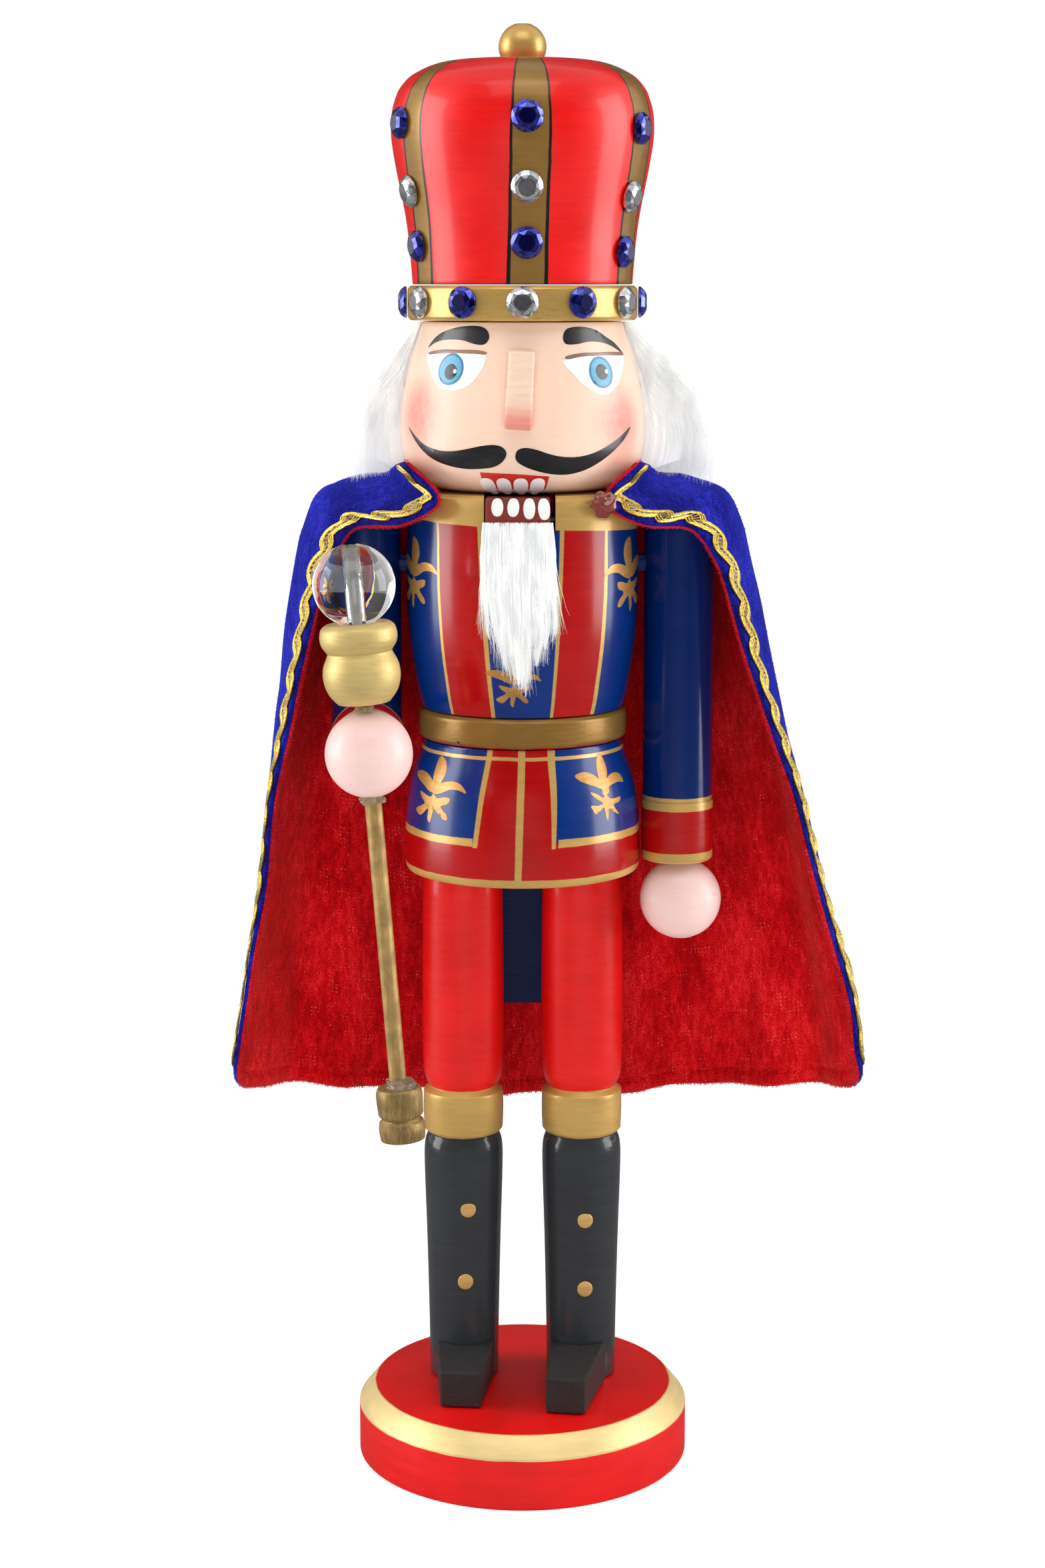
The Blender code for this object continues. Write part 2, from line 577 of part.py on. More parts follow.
def make_sceptre():
    """Rod, ferrule, cup and clear bead, threaded on one tilted axis through the hand."""
    stand = add_empty("sceptre_axis", RIGHT_HAND_CENTRE)
    ferrule_low = -0.0992
    ferrule_top = -0.0845
    groove = (ferrule_low + ferrule_top) / 2 - 0.0006
    hole = ROD_RADIUS + GLUE_GAP
    ferrule = [(FERRULE_RADIUS - 0.0014, ferrule_low), (FERRULE_RADIUS - 0.0003, ferrule_low + 0.0012),
               (FERRULE_RADIUS, ferrule_low + 0.0040), (FERRULE_RADIUS - 0.0003, groove - 0.0008),
               (FERRULE_RADIUS - 0.0012, groove), (FERRULE_RADIUS - 0.0002, groove + 0.0010),
               (FERRULE_RADIUS, ferrule_top - 0.0018), (FERRULE_RADIUS - 0.0006, ferrule_top)]
    socket = [(hole, ferrule_top), (hole, ferrule_top - 0.0085)]
    pieces = [turn("sceptre_ferrule", solid(ferrule + socket), RAW_GOLD, SMALL_SIDES)]

    cup_low = HAND_RADIUS + 0.0002
    bulb = cup_low + 0.0015 + 0.0072
    rim = ORB_HEIGHT - 0.0092
    seat = [(radius, ORB_HEIGHT - math.sqrt((ORB_RADIUS + GLUE_GAP) ** 2 - radius ** 2))
            for radius in (0.0042, 0.0028, 0.0)]
    cup = [(hole, cup_low), (0.0033, cup_low), (0.0035, cup_low + 0.0013)]
    cup += ball(CUP_RADIUS, bulb, bulb - 0.0088, bulb + 0.0052, 5)
    cup += [(0.0081, bulb + 0.0058), (0.0091, bulb + 0.0073), (CUP_RADIUS, rim - 0.0035),
            (0.0091, rim - 0.0012), (0.0078, rim)]
    cup += [(0.0050, rim), *seat]
    rod_end = cup_low + 0.0110
    pieces.append(turn("sceptre_cup", [(0.0, rod_end + GLUE_GAP), (hole, rod_end + GLUE_GAP), *cup],
                       GOLD, SMALL_SIDES))
    rod = [(ROD_RADIUS, ferrule_top - 0.0080), (ROD_RADIUS, rod_end)]
    pieces.append(turn("sceptre_rod", solid(rod), RAW_GOLD, DOWEL_SIDES))

    bore = 0.0016
    mouth = math.sqrt(ORB_RADIUS ** 2 - bore ** 2)
    bead = ball(ORB_RADIUS, ORB_HEIGHT, ORB_HEIGHT - mouth, ORB_HEIGHT + mouth, 10)
    pieces.append(turn("sceptre_orb", bead, CLEAR, SMALL_SIDES, hollow=True))

    for piece in pieces:
        piece.parent = stand
    stand.rotation_euler.y = -SCEPTRE_TILT
    bpy.context.view_layer.update()
    return (stand.matrix_world.to_3x3() @ Vector((0, 0, 1))).normalized()


# ---------------------------------------------------------------- hair and beard

def make_hair():
    """The wig: a thick fleece round the sides and back of the head."""
    front_edge = 84
    fleece = ((0.2690, 0.0312, 0.0442), (0.2770, 0.0328, 0.0434), (0.2860, 0.0324, 0.0412),
              (0.2950, 0.0306, 0.0380), (0.3025, 0.0284, 0.0330))
    loops = []
    steps = 16
    for step in range(steps + 1):
        degrees = front_edge + (360 - 2 * front_edge) * step / steps
        spread = 1.0 + 0.10 * max(0.0, math.sin(math.radians(degrees)))
        thinner = 0.55 if step in (0, steps) else 1.0
        inner = [(radius, height) for height, radius, _ in fleece]
        outer = [(radius + (outside * spread - radius) * thinner, height)
                 for height, radius, outside in reversed(fleece)]
        loops.append([round_the_front(degrees, radius, height) for radius, height in inner + outer])
    loft("hair", loops, FLEECE)


def make_beard(hang_empty):
    """A strip of fleece that hangs from the jaw's front, narrowing to its tip."""
    sections = ((0.2568, 0.0084, 0.0020), (0.2500, 0.0093, 0.0030), (0.2400, 0.0092, 0.0034),
                (0.2300, 0.0080, 0.0034), (0.2200, 0.0056, 0.0028), (0.2125, 0.0022, 0.0014))
    back = BEARD_HANG.y
    sides = 12
    loops = []
    for height, half_width, half_depth in sections:
        angles = [2 * math.pi * corner / sides for corner in range(sides)]
        loops.append([(BEARD_HANG.x + half_width * math.cos(angle),
                       back - half_depth + half_depth * math.sin(angle), height)
                      for angle in angles])
    loft("beard", loops, FLEECE, hang_empty)


# ---------------------------------------------------------------- cape

# Each hoop runs round the body: the heights at its front edges, sides and back, its
# half widths to the right and left, the front edges' share of that width, and how
# far back the front edges, sides and back lie.
YOKE_HOOPS = (
    (0.2625, 0.2652, 0.2655, 0.0290, 0.0290, 0.76, -0.0262, 0.000, 0.0290),
    (0.2585, 0.2636, 0.2625, 0.0410, 0.0410, 0.78, -0.0262, 0.001, 0.0335),
    (0.2560, 0.2600, 0.2565, 0.0510, 0.0510, 0.86, -0.0180, 0.003, 0.0355),
    (0.2475, 0.2510, 0.2515, 0.0558, 0.0563, 0.87, -0.0150, 0.005, 0.0370),
    (0.2405, 0.2430, 0.2465, 0.0585, 0.0590, 0.88, -0.0135, 0.006, 0.0378),
)
DRAPE_HOOPS = (
    (0.2350, 0.2360, 0.2360, 0.0600, 0.0608, 0.88, -0.0130, 0.007, 0.0388),
    (0.2120, 0.2120, 0.2120, 0.0638, 0.0660, 0.92, -0.0120, 0.008, 0.0400),
    (0.1850, 0.1850, 0.1850, 0.0662, 0.0725, 0.97, -0.0070, 0.010, 0.0415),
    (0.1550, 0.1550, 0.1550, 0.0695, 0.0795, 0.99, -0.0015, 0.013, 0.0430),
    (0.1250, 0.1240, 0.1230, 0.0748, 0.0865, 1.00, 0.0030, 0.015, 0.0445),
    (0.1060, 0.0985, 0.0880, 0.0785, 0.0910, 1.00, 0.0060, 0.016, 0.0455),
)


def hoop_points(hoop, around):
    """A smooth hoop of the cape, from its right front edge round the back to its left."""
    edge_z, side_z, back_z, right, left, share, edge_y, side_y, back_y = hoop
    quarter_y = side_y + 0.72 * (back_y - side_y)
    quarter_z = (side_z + back_z) / 2
    flank = [(share, edge_y, edge_z), (1.0, side_y, side_z), (0.72, quarter_y, quarter_z)]
    points = [(-right * x, y, z) for x, y, z in flank]
    points.append((0.0, back_y, back_z))
    points += [(left * x, y, z) for x, y, z in reversed(flank)]
    return curve_through(points, around)


def cape_grid(hoops, around, down):
    """Rows of points over a stretch of the cape, from its top hoop to its lowest."""
    rows = [hoop_points(hoop, around) for hoop in hoops]
    columns = [curve_through(column, down) for column in zip(*rows)]
    return list(zip(*columns))


def make_cape_sheet(name, grid, material, parent=None):
    """A cloth-thick closed sheet over a grid of points."""
    bm = bmesh.new()
    rows = [[bm.verts.new(point) for point in row] for row in grid]
    for row, lower in zip(rows, rows[1:]):
        for index in range(len(row) - 1):
            bm.faces.new((row[index], lower[index], lower[index + 1], row[index + 1]))
    sheet = add_object(name, bm, material, parent)
    cloth = sheet.modifiers.new("cloth", "SOLIDIFY")
    cloth.thickness = CAPE_THICKNESS
    cloth.offset = 0.0


def braid_route(grid):
    """Down one front edge of the drape, along its hem and up the other edge."""
    inset_rows = grid[1:-1]
    route = [(row, 1) for row in inset_rows]
    route += [(grid[-2], index) for index in range(2, len(grid[0]) - 2)]
    route += [(row, len(row) - 2) for row in reversed(inset_rows)]
    stand_off = CAPE_THICKNESS / 2 + BRAID_RADIUS + 2 * GLUE_GAP
    points = []
    for row, index in route:
        along = row[index + 1] - row[index - 1]
        below = grid[grid.index(row) + 1][index] - grid[grid.index(row) - 1][index]
        outward = along.cross(below).normalized()
        middle = sum((point for point in row), Vector()) / len(row)
        if outward.dot(row[index] - middle) < 0:
            outward.negate()
        points.append(row[index] + outward * stand_off)
    return points


def make_braid(grid, parent):
    """The gold braid sewn along the drape's edges, as a plain cord."""
    route = braid_route(grid)
    curve = bpy.data.curves.new("cape_braid", "CURVE")
    curve.dimensions = "3D"
    curve.bevel_depth = BRAID_RADIUS
    curve.bevel_resolution = 1
    curve.use_fill_caps = True
    curve.materials.append(GOLD_BRAID)
    spline = curve.splines.new("POLY")
    spline.points.add(len(route) - 1)
    for spline_point, point in zip(spline.points, route):
        spline_point.co = (*point, 1.0)
    braid = bpy.data.objects.new("cape_braid", curve)
    bpy.context.collection.objects.link(braid)
    braid.parent = parent
    braid.matrix_parent_inverse = parent.matrix_world.inverted()


def make_cape():
    make_cape_sheet("cape_yoke", cape_grid(YOKE_HOOPS, 4, 1), VELVET)
    swing = add_empty("cape_hinge", CAPE_HINGE)
    drape = cape_grid(DRAPE_HOOPS, 4, 2)
    make_cape_sheet("cape_drape", drape, VELVET, swing)
    make_braid(drape, swing)


# ---------------------------------------------------------------- assembly

for thing in list(bpy.data.objects):
    bpy.data.objects.remove(thing, do_unlink=True)

CUTTER = paint("cutter", (0.5, 0.5, 0.5), 0.5)
RED = paint("red_paint", (0.80, 0.035, 0.020), 0.30)
NAVY = paint("navy_paint", (0.005, 0.016, 0.150), 0.22)
GOLD = paint("gold_paint", (0.58, 0.37, 0.12), 0.35, metallic=0.8)
RAW_GOLD = paint("gilded_raw_wood", (0.50, 0.36, 0.16), 0.6, metallic=0.5)
SKIN = paint("skin_paint", (0.87, 0.61, 0.46), 0.35)
SHOE_BLACK = paint("shoe_black", (0.012, 0.012, 0.012), 0.6)
JAW_BROWN = paint("jaw_brown", (0.21, 0.045, 0.040), 0.45)
BARE_WOOD = paint("bare_wood", (0.60, 0.42, 0.24), 0.7)
STEEL = paint("pin_steel", (0.50, 0.50, 0.50), 0.4, metallic=1.0)
CLEAR = paint("clear_acrylic", (0.95, 0.97, 0.97), 0.03, transmission=1.0)
CLEAR_STONE = paint("clear_stone", (0.90, 0.92, 0.95), 0.05, metallic=0.6)
BLUE_STONE = paint("blue_stone", (0.02, 0.06, 0.45), 0.05, metallic=0.6)
FLEECE = paint("white_fleece", (0.85, 0.85, 0.83), 0.9)
VELVET = paint("blue_velvet", (0.015, 0.015, 0.30), 0.85)
GOLD_BRAID = paint("gold_braid", (0.65, 0.52, 0.10), 0.4, metallic=0.7)

make_base()
make_legs()
make_shoe("right_shoe", -1, -0.0220, -0.0220, -0.0111, -0.0237, -0.0074, 0.0010)
make_shoe("left_shoe", 1, -0.0262, 0.0062, 0.0165, 0.0079, 0.0243, 0.0016)
make_body()
jaw_axis = add_empty("jaw_hinge", PIVOT)
make_lever(jaw_axis)
make_beard(add_empty("beard_hinge", BEARD_HANG, jaw_axis))
make_head()
make_nose()
make_crown()
make_gems()
make_left_arm()
make_right_arm(make_sceptre())
make_hair()
make_cape()
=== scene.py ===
# %% [markdown]
# # A nutcracker king
#
# This figure is turned on a lathe, sawn, painted by hand and dressed in fleece, velvet and braid. The
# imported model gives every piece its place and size, so each cell below only has to answer two questions:
# what is this piece made of, and which mesh tool or node gives that look?
#
# All lengths are in metres and +Z is up. The figure faces -Y, so its own left side is at +X.

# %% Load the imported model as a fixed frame
import json
import math
import random

import bmesh
import bpy
from mathutils import Matrix, Vector, noise


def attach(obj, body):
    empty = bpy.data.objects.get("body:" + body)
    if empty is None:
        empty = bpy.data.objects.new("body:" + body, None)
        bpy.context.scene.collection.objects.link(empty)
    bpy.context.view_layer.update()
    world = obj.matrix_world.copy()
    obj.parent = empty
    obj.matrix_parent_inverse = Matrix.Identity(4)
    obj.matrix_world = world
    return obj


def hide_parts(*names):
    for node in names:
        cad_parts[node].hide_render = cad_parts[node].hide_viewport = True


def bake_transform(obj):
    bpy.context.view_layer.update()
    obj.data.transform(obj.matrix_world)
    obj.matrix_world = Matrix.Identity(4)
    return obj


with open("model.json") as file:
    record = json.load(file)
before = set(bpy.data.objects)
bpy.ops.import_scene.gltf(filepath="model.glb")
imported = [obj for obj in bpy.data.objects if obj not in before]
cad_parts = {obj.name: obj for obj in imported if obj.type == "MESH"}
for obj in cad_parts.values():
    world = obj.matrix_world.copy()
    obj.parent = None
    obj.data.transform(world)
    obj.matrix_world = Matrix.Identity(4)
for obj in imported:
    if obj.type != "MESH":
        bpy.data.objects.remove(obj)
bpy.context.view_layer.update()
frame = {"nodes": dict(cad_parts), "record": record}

MM = 0.001

# %% [markdown]
# ## Camera, light and floor
#
# The figure is seen from the front, a little above its waist, through a long lens, which keeps its sides
# straight. A white sweep and two tall soft boxes at the sides give painted wood its look: a broad bright
# band down each side of every turned shape, with the true colour between them. A white room in front would
# lay a pale haze over the paint, so the front half of the room gives no light. A lamp that no reflection
# shows fills the front instead.

# %% The camera at the viewing angle
scene = bpy.context.scene
scene.view_settings.view_transform = "Standard"

CAMERA_DISTANCE = 0.741
CAMERA_HEIGHT = 0.314
CAMERA_DIP = math.radians(9.87)

lens = bpy.data.cameras.new("camera")
lens.sensor_width = 36
lens.lens = 65.05
camera = bpy.data.objects.new("camera", lens)
camera.location = (0, -CAMERA_DISTANCE, CAMERA_HEIGHT)
camera.rotation_euler = (math.radians(90) - CAMERA_DIP, 0, 0)
scene.collection.objects.link(camera)
scene.camera = camera
print("camera looks down by", round(math.degrees(CAMERA_DIP), 2), "degrees")

# %% Two side boxes, one overhead, a front fill and a white surround
def soft_box(name, place, target, width, height, power):
    """A rectangular area light that faces its target."""
    light = bpy.data.lights.new(name, "AREA")
    light.shape = "RECTANGLE"
    light.size = width
    light.size_y = height
    light.energy = power
    lamp = bpy.data.objects.new(name, light)
    lamp.location = place
    lamp.rotation_euler = (Vector(target) - Vector(place)).to_track_quat("-Z", "Y").to_euler()
    scene.collection.objects.link(lamp)
    return lamp


middle = (0, 0, 0.2)
for name, across in (("left_box", 1.05), ("right_box", -1.05)):
    soft_box(name, (across, -0.05, 0.42), middle, 0.55, 0.9, 7.5)
soft_box("top_box", (0, -0.55, 1.15), middle, 0.9, 0.6, 3.4)
fill = soft_box("front_fill", (0.0, -1.2, 0.25), middle, 1.0, 0.5, 5.5)
fill.visible_glossy = False


def dress_world():
    """A white room for the eye, but one whose front half gives no light, so that paint keeps its depth."""
    world = bpy.data.worlds.new("white_surround")
    world.use_nodes = True
    tree = world.node_tree
    background = tree.nodes["Background"]
    ray = tree.nodes.new("ShaderNodeNewGeometry")
    parts = tree.nodes.new("ShaderNodeSeparateXYZ")
    tree.links.new(ray.outputs["Position"], parts.inputs[0])
    front = tree.nodes.new("ShaderNodeMapRange")
    front.interpolation_type = "SMOOTHSTEP"
    for label, value in (("From Min", -0.95), ("From Max", 0.10), ("To Min", 0.02), ("To Max", 0.75)):
        front.inputs[label].default_value = value
    tree.links.new(parts.outputs["Y"], front.inputs["Value"])
    seen = tree.nodes.new("ShaderNodeLightPath")
    strength = tree.nodes.new("ShaderNodeMix")
    tree.links.new(seen.outputs["Is Camera Ray"], strength.inputs[0])
    tree.links.new(front.outputs[0], strength.inputs[2])
    strength.inputs[3].default_value = 1.0
    tree.links.new(strength.outputs[0], background.inputs["Strength"])
    background.inputs["Color"].default_value = (1, 1, 1, 1)
    scene.world = world


dress_world()

# %% A pale floor that curves up behind the figure
FLOOR_HALF = 1.6
FLOOR_FRONT = -1.4
FLOOR_BACK = 1.1
SWEEP = 0.5
SWEEP_TOP = 2.2
floor_bm = bmesh.new()
start = [floor_bm.verts.new((side * FLOOR_HALF, FLOOR_FRONT, 0)) for side in (-1, 1)]
edge = floor_bm.edges.new(start)
curve_up = [(FLOOR_BACK + SWEEP * math.sin(math.radians(turn)), SWEEP - SWEEP * math.cos(math.radians(turn)))
            for turn in range(10, 91, 10)]
for y, z in [(FLOOR_BACK, 0)] + curve_up + [(FLOOR_BACK + SWEEP, SWEEP_TOP)]:
    grown = bmesh.ops.extrude_edge_only(floor_bm, edges=[edge])["geom"]
    edge = [item for item in grown if isinstance(item, bmesh.types.BMEdge)][0]
    for vert in edge.verts:
        vert.co.y, vert.co.z = y, z
bmesh.ops.recalc_face_normals(floor_bm, faces=floor_bm.faces)
floor_mesh = bpy.data.meshes.new("floor")
floor_bm.to_mesh(floor_mesh)
floor_bm.free()
floor_mesh.shade_smooth()
floor = bpy.data.objects.new("floor", floor_mesh)
floor_paint = bpy.data.materials.new("white sweep")
floor_paint.use_nodes = True
floor_shader = floor_paint.node_tree.nodes["Principled BSDF"]
floor_shader.inputs["Roughness"].default_value = 0.9
floor_shader.inputs["Emission Color"].default_value = (1, 1, 1, 1)
floor_rays = floor_paint.node_tree.nodes.new("ShaderNodeLightPath")
for rays, socket, plain, seen in (("Is Camera Ray", "Emission Strength", 0.0, 0.45),
                                  ("Is Glossy Ray", "Base Color", 0.9, 0.15)):
    level = floor_paint.node_tree.nodes.new("ShaderNodeMapRange")
    level.inputs["To Min"].default_value = plain
    level.inputs["To Max"].default_value = seen
    floor_paint.node_tree.links.new(floor_rays.outputs[rays], level.inputs["Value"])
    floor_paint.node_tree.links.new(level.outputs[0], floor_shader.inputs[socket])
floor_mesh.materials.append(floor_paint)
scene.collection.objects.link(floor)

# %% [markdown]
# ## Small helpers for nodes
#
# Every finish is a node tree. Four short helpers keep the trees readable: one adds a node and sets its
# inputs, one does arithmetic, one mixes two colours, and one makes a colour from a painter's 0-255 swatch.

# %% Node helpers
def swatch(red, green, blue):
    """A display colour of 0-255 as the linear colour that shaders use."""
    linear = [((part / 255 + 0.055) / 1.055) ** 2.4 if part > 10 else part / 255 / 12.92
              for part in (red, green, blue)]
    return (*linear, 1.0)


def put(tree, socket, value):
    """Wire another node's output into a socket, or set the socket's value."""
    if isinstance(value, bpy.types.NodeSocket):
        tree.links.new(value, socket)
    elif value is not None:
        socket.default_value = value


def add(tree, kind, inputs=None, **settings):
    """Add a shader node, choose its settings and fill its inputs."""
    made = tree.nodes.new("ShaderNode" + kind)
    for name, value in settings.items():
        setattr(made, name, value)
    for name, value in (inputs or {}).items():
        put(tree, made.inputs[name], value)
    return made


def object_spot(tree):
    """The point that is shaded, in the piece's own place and size."""
    return add(tree, "TexCoord").outputs["Object"]


def calc(tree, operation, *values, clamp=False):
    """One step of arithmetic on numbers or sockets."""
    made = add(tree, "Math", operation=operation, use_clamp=clamp)
    for socket, value in zip(made.inputs, values):
        put(tree, socket, value)
    return made.outputs[0]


def mix(tree, factor, first, second):
    """The first colour where the factor is 0, the second where it is 1."""
    made = add(tree, "Mix", data_type="RGBA")
    for index, value in ((0, factor), (6, first), (7, second)):
        put(tree, made.inputs[index], value)
    return made.outputs[2]


def shaded(tree, colour, amount):
    """A colour made lighter or darker by a number."""
    made = add(tree, "Mix", {0: 1.0}, data_type="RGBA", blend_type="MULTIPLY")
    for index, value in ((6, colour), (7, amount)):
        put(tree, made.inputs[index], value)
    return made.outputs[2]


def ramp(tree, value, low, high, to_low=0.0, to_high=1.0):
    """A smooth step from one value to another as the input passes from low to high."""
    made = add(tree, "MapRange", {"Value": value, "From Min": low, "From Max": high,
                                  "To Min": to_low, "To Max": to_high},
               interpolation_type="SMOOTHSTEP")
    return made.outputs[0]


def specks(tree, vector, scale, detail=2.0, roughness=0.5):
    """Noise from 0 to 1 at a given number of blotches per metre."""
    return add(tree, "TexNoise", {"Vector": vector, "Scale": scale, "Detail": detail,
                                  "Roughness": roughness}).outputs["Fac"]

print("node helpers are ready")

# %% [markdown]
# ## Effects that several finishes share
#
# Each shared effect is one node group, built once. `place on the figure` turns a point into its direction
# round an axis and its height in millimetres, which is how a painter marks a turned shape. `hand-painted
# edge` makes a mask whose border wavers like a brush stroke. `brushed paint` gives the faint rings and
# pits of paint on a lathe-turned surface. `chipped paint` leaves a few small bare spots.

# %% Group: place on the figure
def new_group(name, inputs, outputs):
    """A node group with named sockets, given as (name, kind, default)."""
    group = bpy.data.node_groups.new(name, "ShaderNodeTree")
    for label, kind, default in inputs:
        socket = group.interface.new_socket(label, in_out="INPUT", socket_type="NodeSocket" + kind)
        if default is not None:
            socket.default_value = default
    for label, kind in outputs:
        group.interface.new_socket(label, in_out="OUTPUT", socket_type="NodeSocket" + kind)
    return group, group.nodes.new("NodeGroupInput").outputs, group.nodes.new("NodeGroupOutput").inputs


place_group, given, result = new_group(
    "place on the figure", [("Axis X", "Float", 0.0), ("Axis Y", "Float", 0.0)],
    [("Degrees", "Float"), ("Height", "Float"), ("Radius", "Float")])
here = add(place_group, "SeparateXYZ",
           {"Vector": object_spot(place_group)}).outputs
across = calc(place_group, "SUBTRACT", here["X"], given["Axis X"])
ahead = calc(place_group, "SUBTRACT", given["Axis Y"], here["Y"])
put(place_group, result["Degrees"], calc(place_group, "DEGREES", calc(place_group, "ARCTAN2", across, ahead)))
put(place_group, result["Height"], calc(place_group, "MULTIPLY", here["Z"], 1 / MM))
reach = calc(place_group, "SQRT", calc(place_group, "ADD", calc(place_group, "POWER", across, 2.0),
                                       calc(place_group, "POWER", ahead, 2.0)))
put(place_group, result["Radius"], calc(place_group, "MULTIPLY", reach, 1 / MM))

# %% Group: hand-painted edge
edge_group, given, result = new_group(
    "hand-painted edge", [("Value", "Float", 0.0), ("Edge", "Float", 0.0), ("Waver", "Float", 0.3),
                          ("Softness", "Float", 0.12), ("Scale", "Float", 120.0)],
    [("Above", "Float")])
spot = object_spot(edge_group)
waver = calc(edge_group, "MULTIPLY", calc(edge_group, "SUBTRACT",
                                          specks(edge_group, spot, given["Scale"], 3.0, 0.6), 0.5),
             given["Waver"])
distance = calc(edge_group, "SUBTRACT", calc(edge_group, "ADD", given["Value"], waver), given["Edge"])
put(edge_group, result["Above"],
    calc(edge_group, "ADD", calc(edge_group, "DIVIDE", distance, given["Softness"]), 0.5, clamp=True))

# %% Group: brushed paint
paint_group, given, result = new_group(
    "brushed paint", [("Rings", "Float", 900.0), ("Pits", "Float", 700.0)],
    [("Tone", "Float"), ("Relief", "Float")])
spot = object_spot(paint_group)
flat = add(paint_group, "Mapping", {"Vector": spot, "Scale": (0.12, 0.12, 1.0)}).outputs[0]
rings = specks(paint_group, flat, given["Rings"], 3.0, 0.6)
pits = specks(paint_group, spot, given["Pits"], 2.0, 0.6)
put(paint_group, result["Tone"], calc(paint_group, "ADD", calc(paint_group, "MULTIPLY", rings, 0.5),
                                      calc(paint_group, "MULTIPLY", specks(paint_group, spot, 60.0), 0.5)))
put(paint_group, result["Relief"], calc(paint_group, "ADD", calc(paint_group, "MULTIPLY", rings, 0.6),
                                        calc(paint_group, "MULTIPLY", pits, 0.4)))

# %% Group: chipped paint
chip_group, given, result = new_group(
    "chipped paint", [("Amount", "Float", 0.1), ("Scale", "Float", 300.0)], [("Bare", "Float")])
spot = object_spot(chip_group)
flakes = specks(chip_group, spot, given["Scale"], 4.0, 0.65)
limit = calc(chip_group, "SUBTRACT", 0.78, calc(chip_group, "MULTIPLY", given["Amount"], 0.4))
put(chip_group, result["Bare"],
    calc(chip_group, "MULTIPLY", calc(chip_group, "SUBTRACT", flakes, limit), 40.0, clamp=True))
print("shared groups:", ", ".join(group.name for group in bpy.data.node_groups))


# %% Helpers that place the groups in a material
def use(tree, group, **inputs):
    """Place a shared group; an underscore in an input's name stands for a space."""
    made = tree.nodes.new("ShaderNodeGroup")
    made.node_tree = group
    for name, value in inputs.items():
        put(tree, made.inputs[name.replace("_", " ")], value)
    return made.outputs


def new_finish(name, **constants):
    """A material with a Principled shader, and any sockets that are the same all over it."""
    material = bpy.data.materials.new(name)
    material.use_nodes = True
    shader = material.node_tree.nodes["Principled BSDF"]
    for label, value in constants.items():
        shader.inputs[label.replace("_", " ")].default_value = value
    return material, material.node_tree, shader


def relief(tree, shader, height, distance, strength=1.0):
    """Feed a height to the shader's normal through a Bump node."""
    bump = add(tree, "Bump", {"Height": height, "Distance": distance, "Strength": strength})
    put(tree, shader.inputs["Normal"], bump.outputs[0])


def above(tree, value, edge, waver=0.3, softness=0.12, scale=120.0):
    """A hand-painted mask: 1 where the value is above the edge."""
    return use(tree, edge_group, Value=value, Edge=edge, Waver=waver, Softness=softness,
               Scale=scale)["Above"]


def between(tree, value, low, high, waver=0.3, softness=0.12):
    """A hand-painted mask: 1 between two edges."""
    return calc(tree, "MULTIPLY", above(tree, value, low, waver, softness),
                calc(tree, "SUBTRACT", 1.0, above(tree, value, high, waver, softness)))

# %% [markdown]
# ## The paints
#
# The figure wears thick satin paint: a warm red, a deep navy, black, a flesh colour and a metallic gold.
# Where one turned piece carries several colours, one material paints them all, by height and by
# direction, as the painter did while the piece span. The gold is a colour that is also partly metallic
# and rougher, so the masks drive colour, metal and roughness together.

# %% Colours on the palette
RED = swatch(224, 12, 8)
DEEP_RED = swatch(168, 6, 8)
NAVY = swatch(2, 32, 94)
ROYAL = swatch(4, 44, 116)
GOLD = swatch(212, 172, 98)
DARK_GOLD = swatch(150, 112, 52)
SKIN = swatch(240, 206, 184)
PINK_SKIN = swatch(240, 204, 198)
BLUSH = swatch(236, 112, 104)
BLACK = swatch(22, 22, 24)
WOOD = swatch(205, 170, 120)


def layered_paint(name, layers, chips=0.0, chip_scale=300.0, rings=900.0, pits=700.0, depth=0.00003,
                  coat=0.12, tones=(0.86, 1.06)):
    """A painted finish built from layers.

    Each layer is a function of the tree that returns (mask, colour, metallic, roughness); the first
    layer's mask is ignored, because it covers everything.
    """
    material, tree, shader = new_finish(name, Coat_Weight=coat, Coat_Roughness=0.12,
                                        Specular_IOR_Level=0.34)
    colour = metallic = rough = None
    for layer in layers:
        mask, layer_colour, layer_metallic, layer_rough = layer(tree)
        if colour is None:
            colour, metallic, rough = layer_colour, layer_metallic, layer_rough
        else:
            colour = mix(tree, mask, colour, layer_colour)
            metallic = add(tree, "Mix", {0: mask, 2: metallic, 3: layer_metallic}).outputs[0]
            rough = add(tree, "Mix", {0: mask, 2: rough, 3: layer_rough}).outputs[0]
    marks = use(tree, paint_group, Rings=rings, Pits=pits)
    shade = ramp(tree, marks["Tone"], 0.3, 0.7, *tones)
    colour = shaded(tree, colour, shade)
    if chips:
        bare = use(tree, chip_group, Amount=chips, Scale=chip_scale)["Bare"]
        colour = mix(tree, bare, colour, WOOD)
        metallic = calc(tree, "MULTIPLY", metallic, calc(tree, "SUBTRACT", 1.0, bare))
    put(tree, shader.inputs["Base Color"], colour)
    put(tree, shader.inputs["Metallic"], metallic)
    put(tree, shader.inputs["Roughness"],
        calc(tree, "ADD", rough, ramp(tree, marks["Tone"], 0.3, 0.7, -0.04, 0.05)))
    relief(tree, shader, marks["Relief"], depth)
    return material


def coat_of(colour, metallic=0.0, rough=0.3):
    """The ground coat of a piece."""
    return lambda tree: (None, colour, metallic, rough)


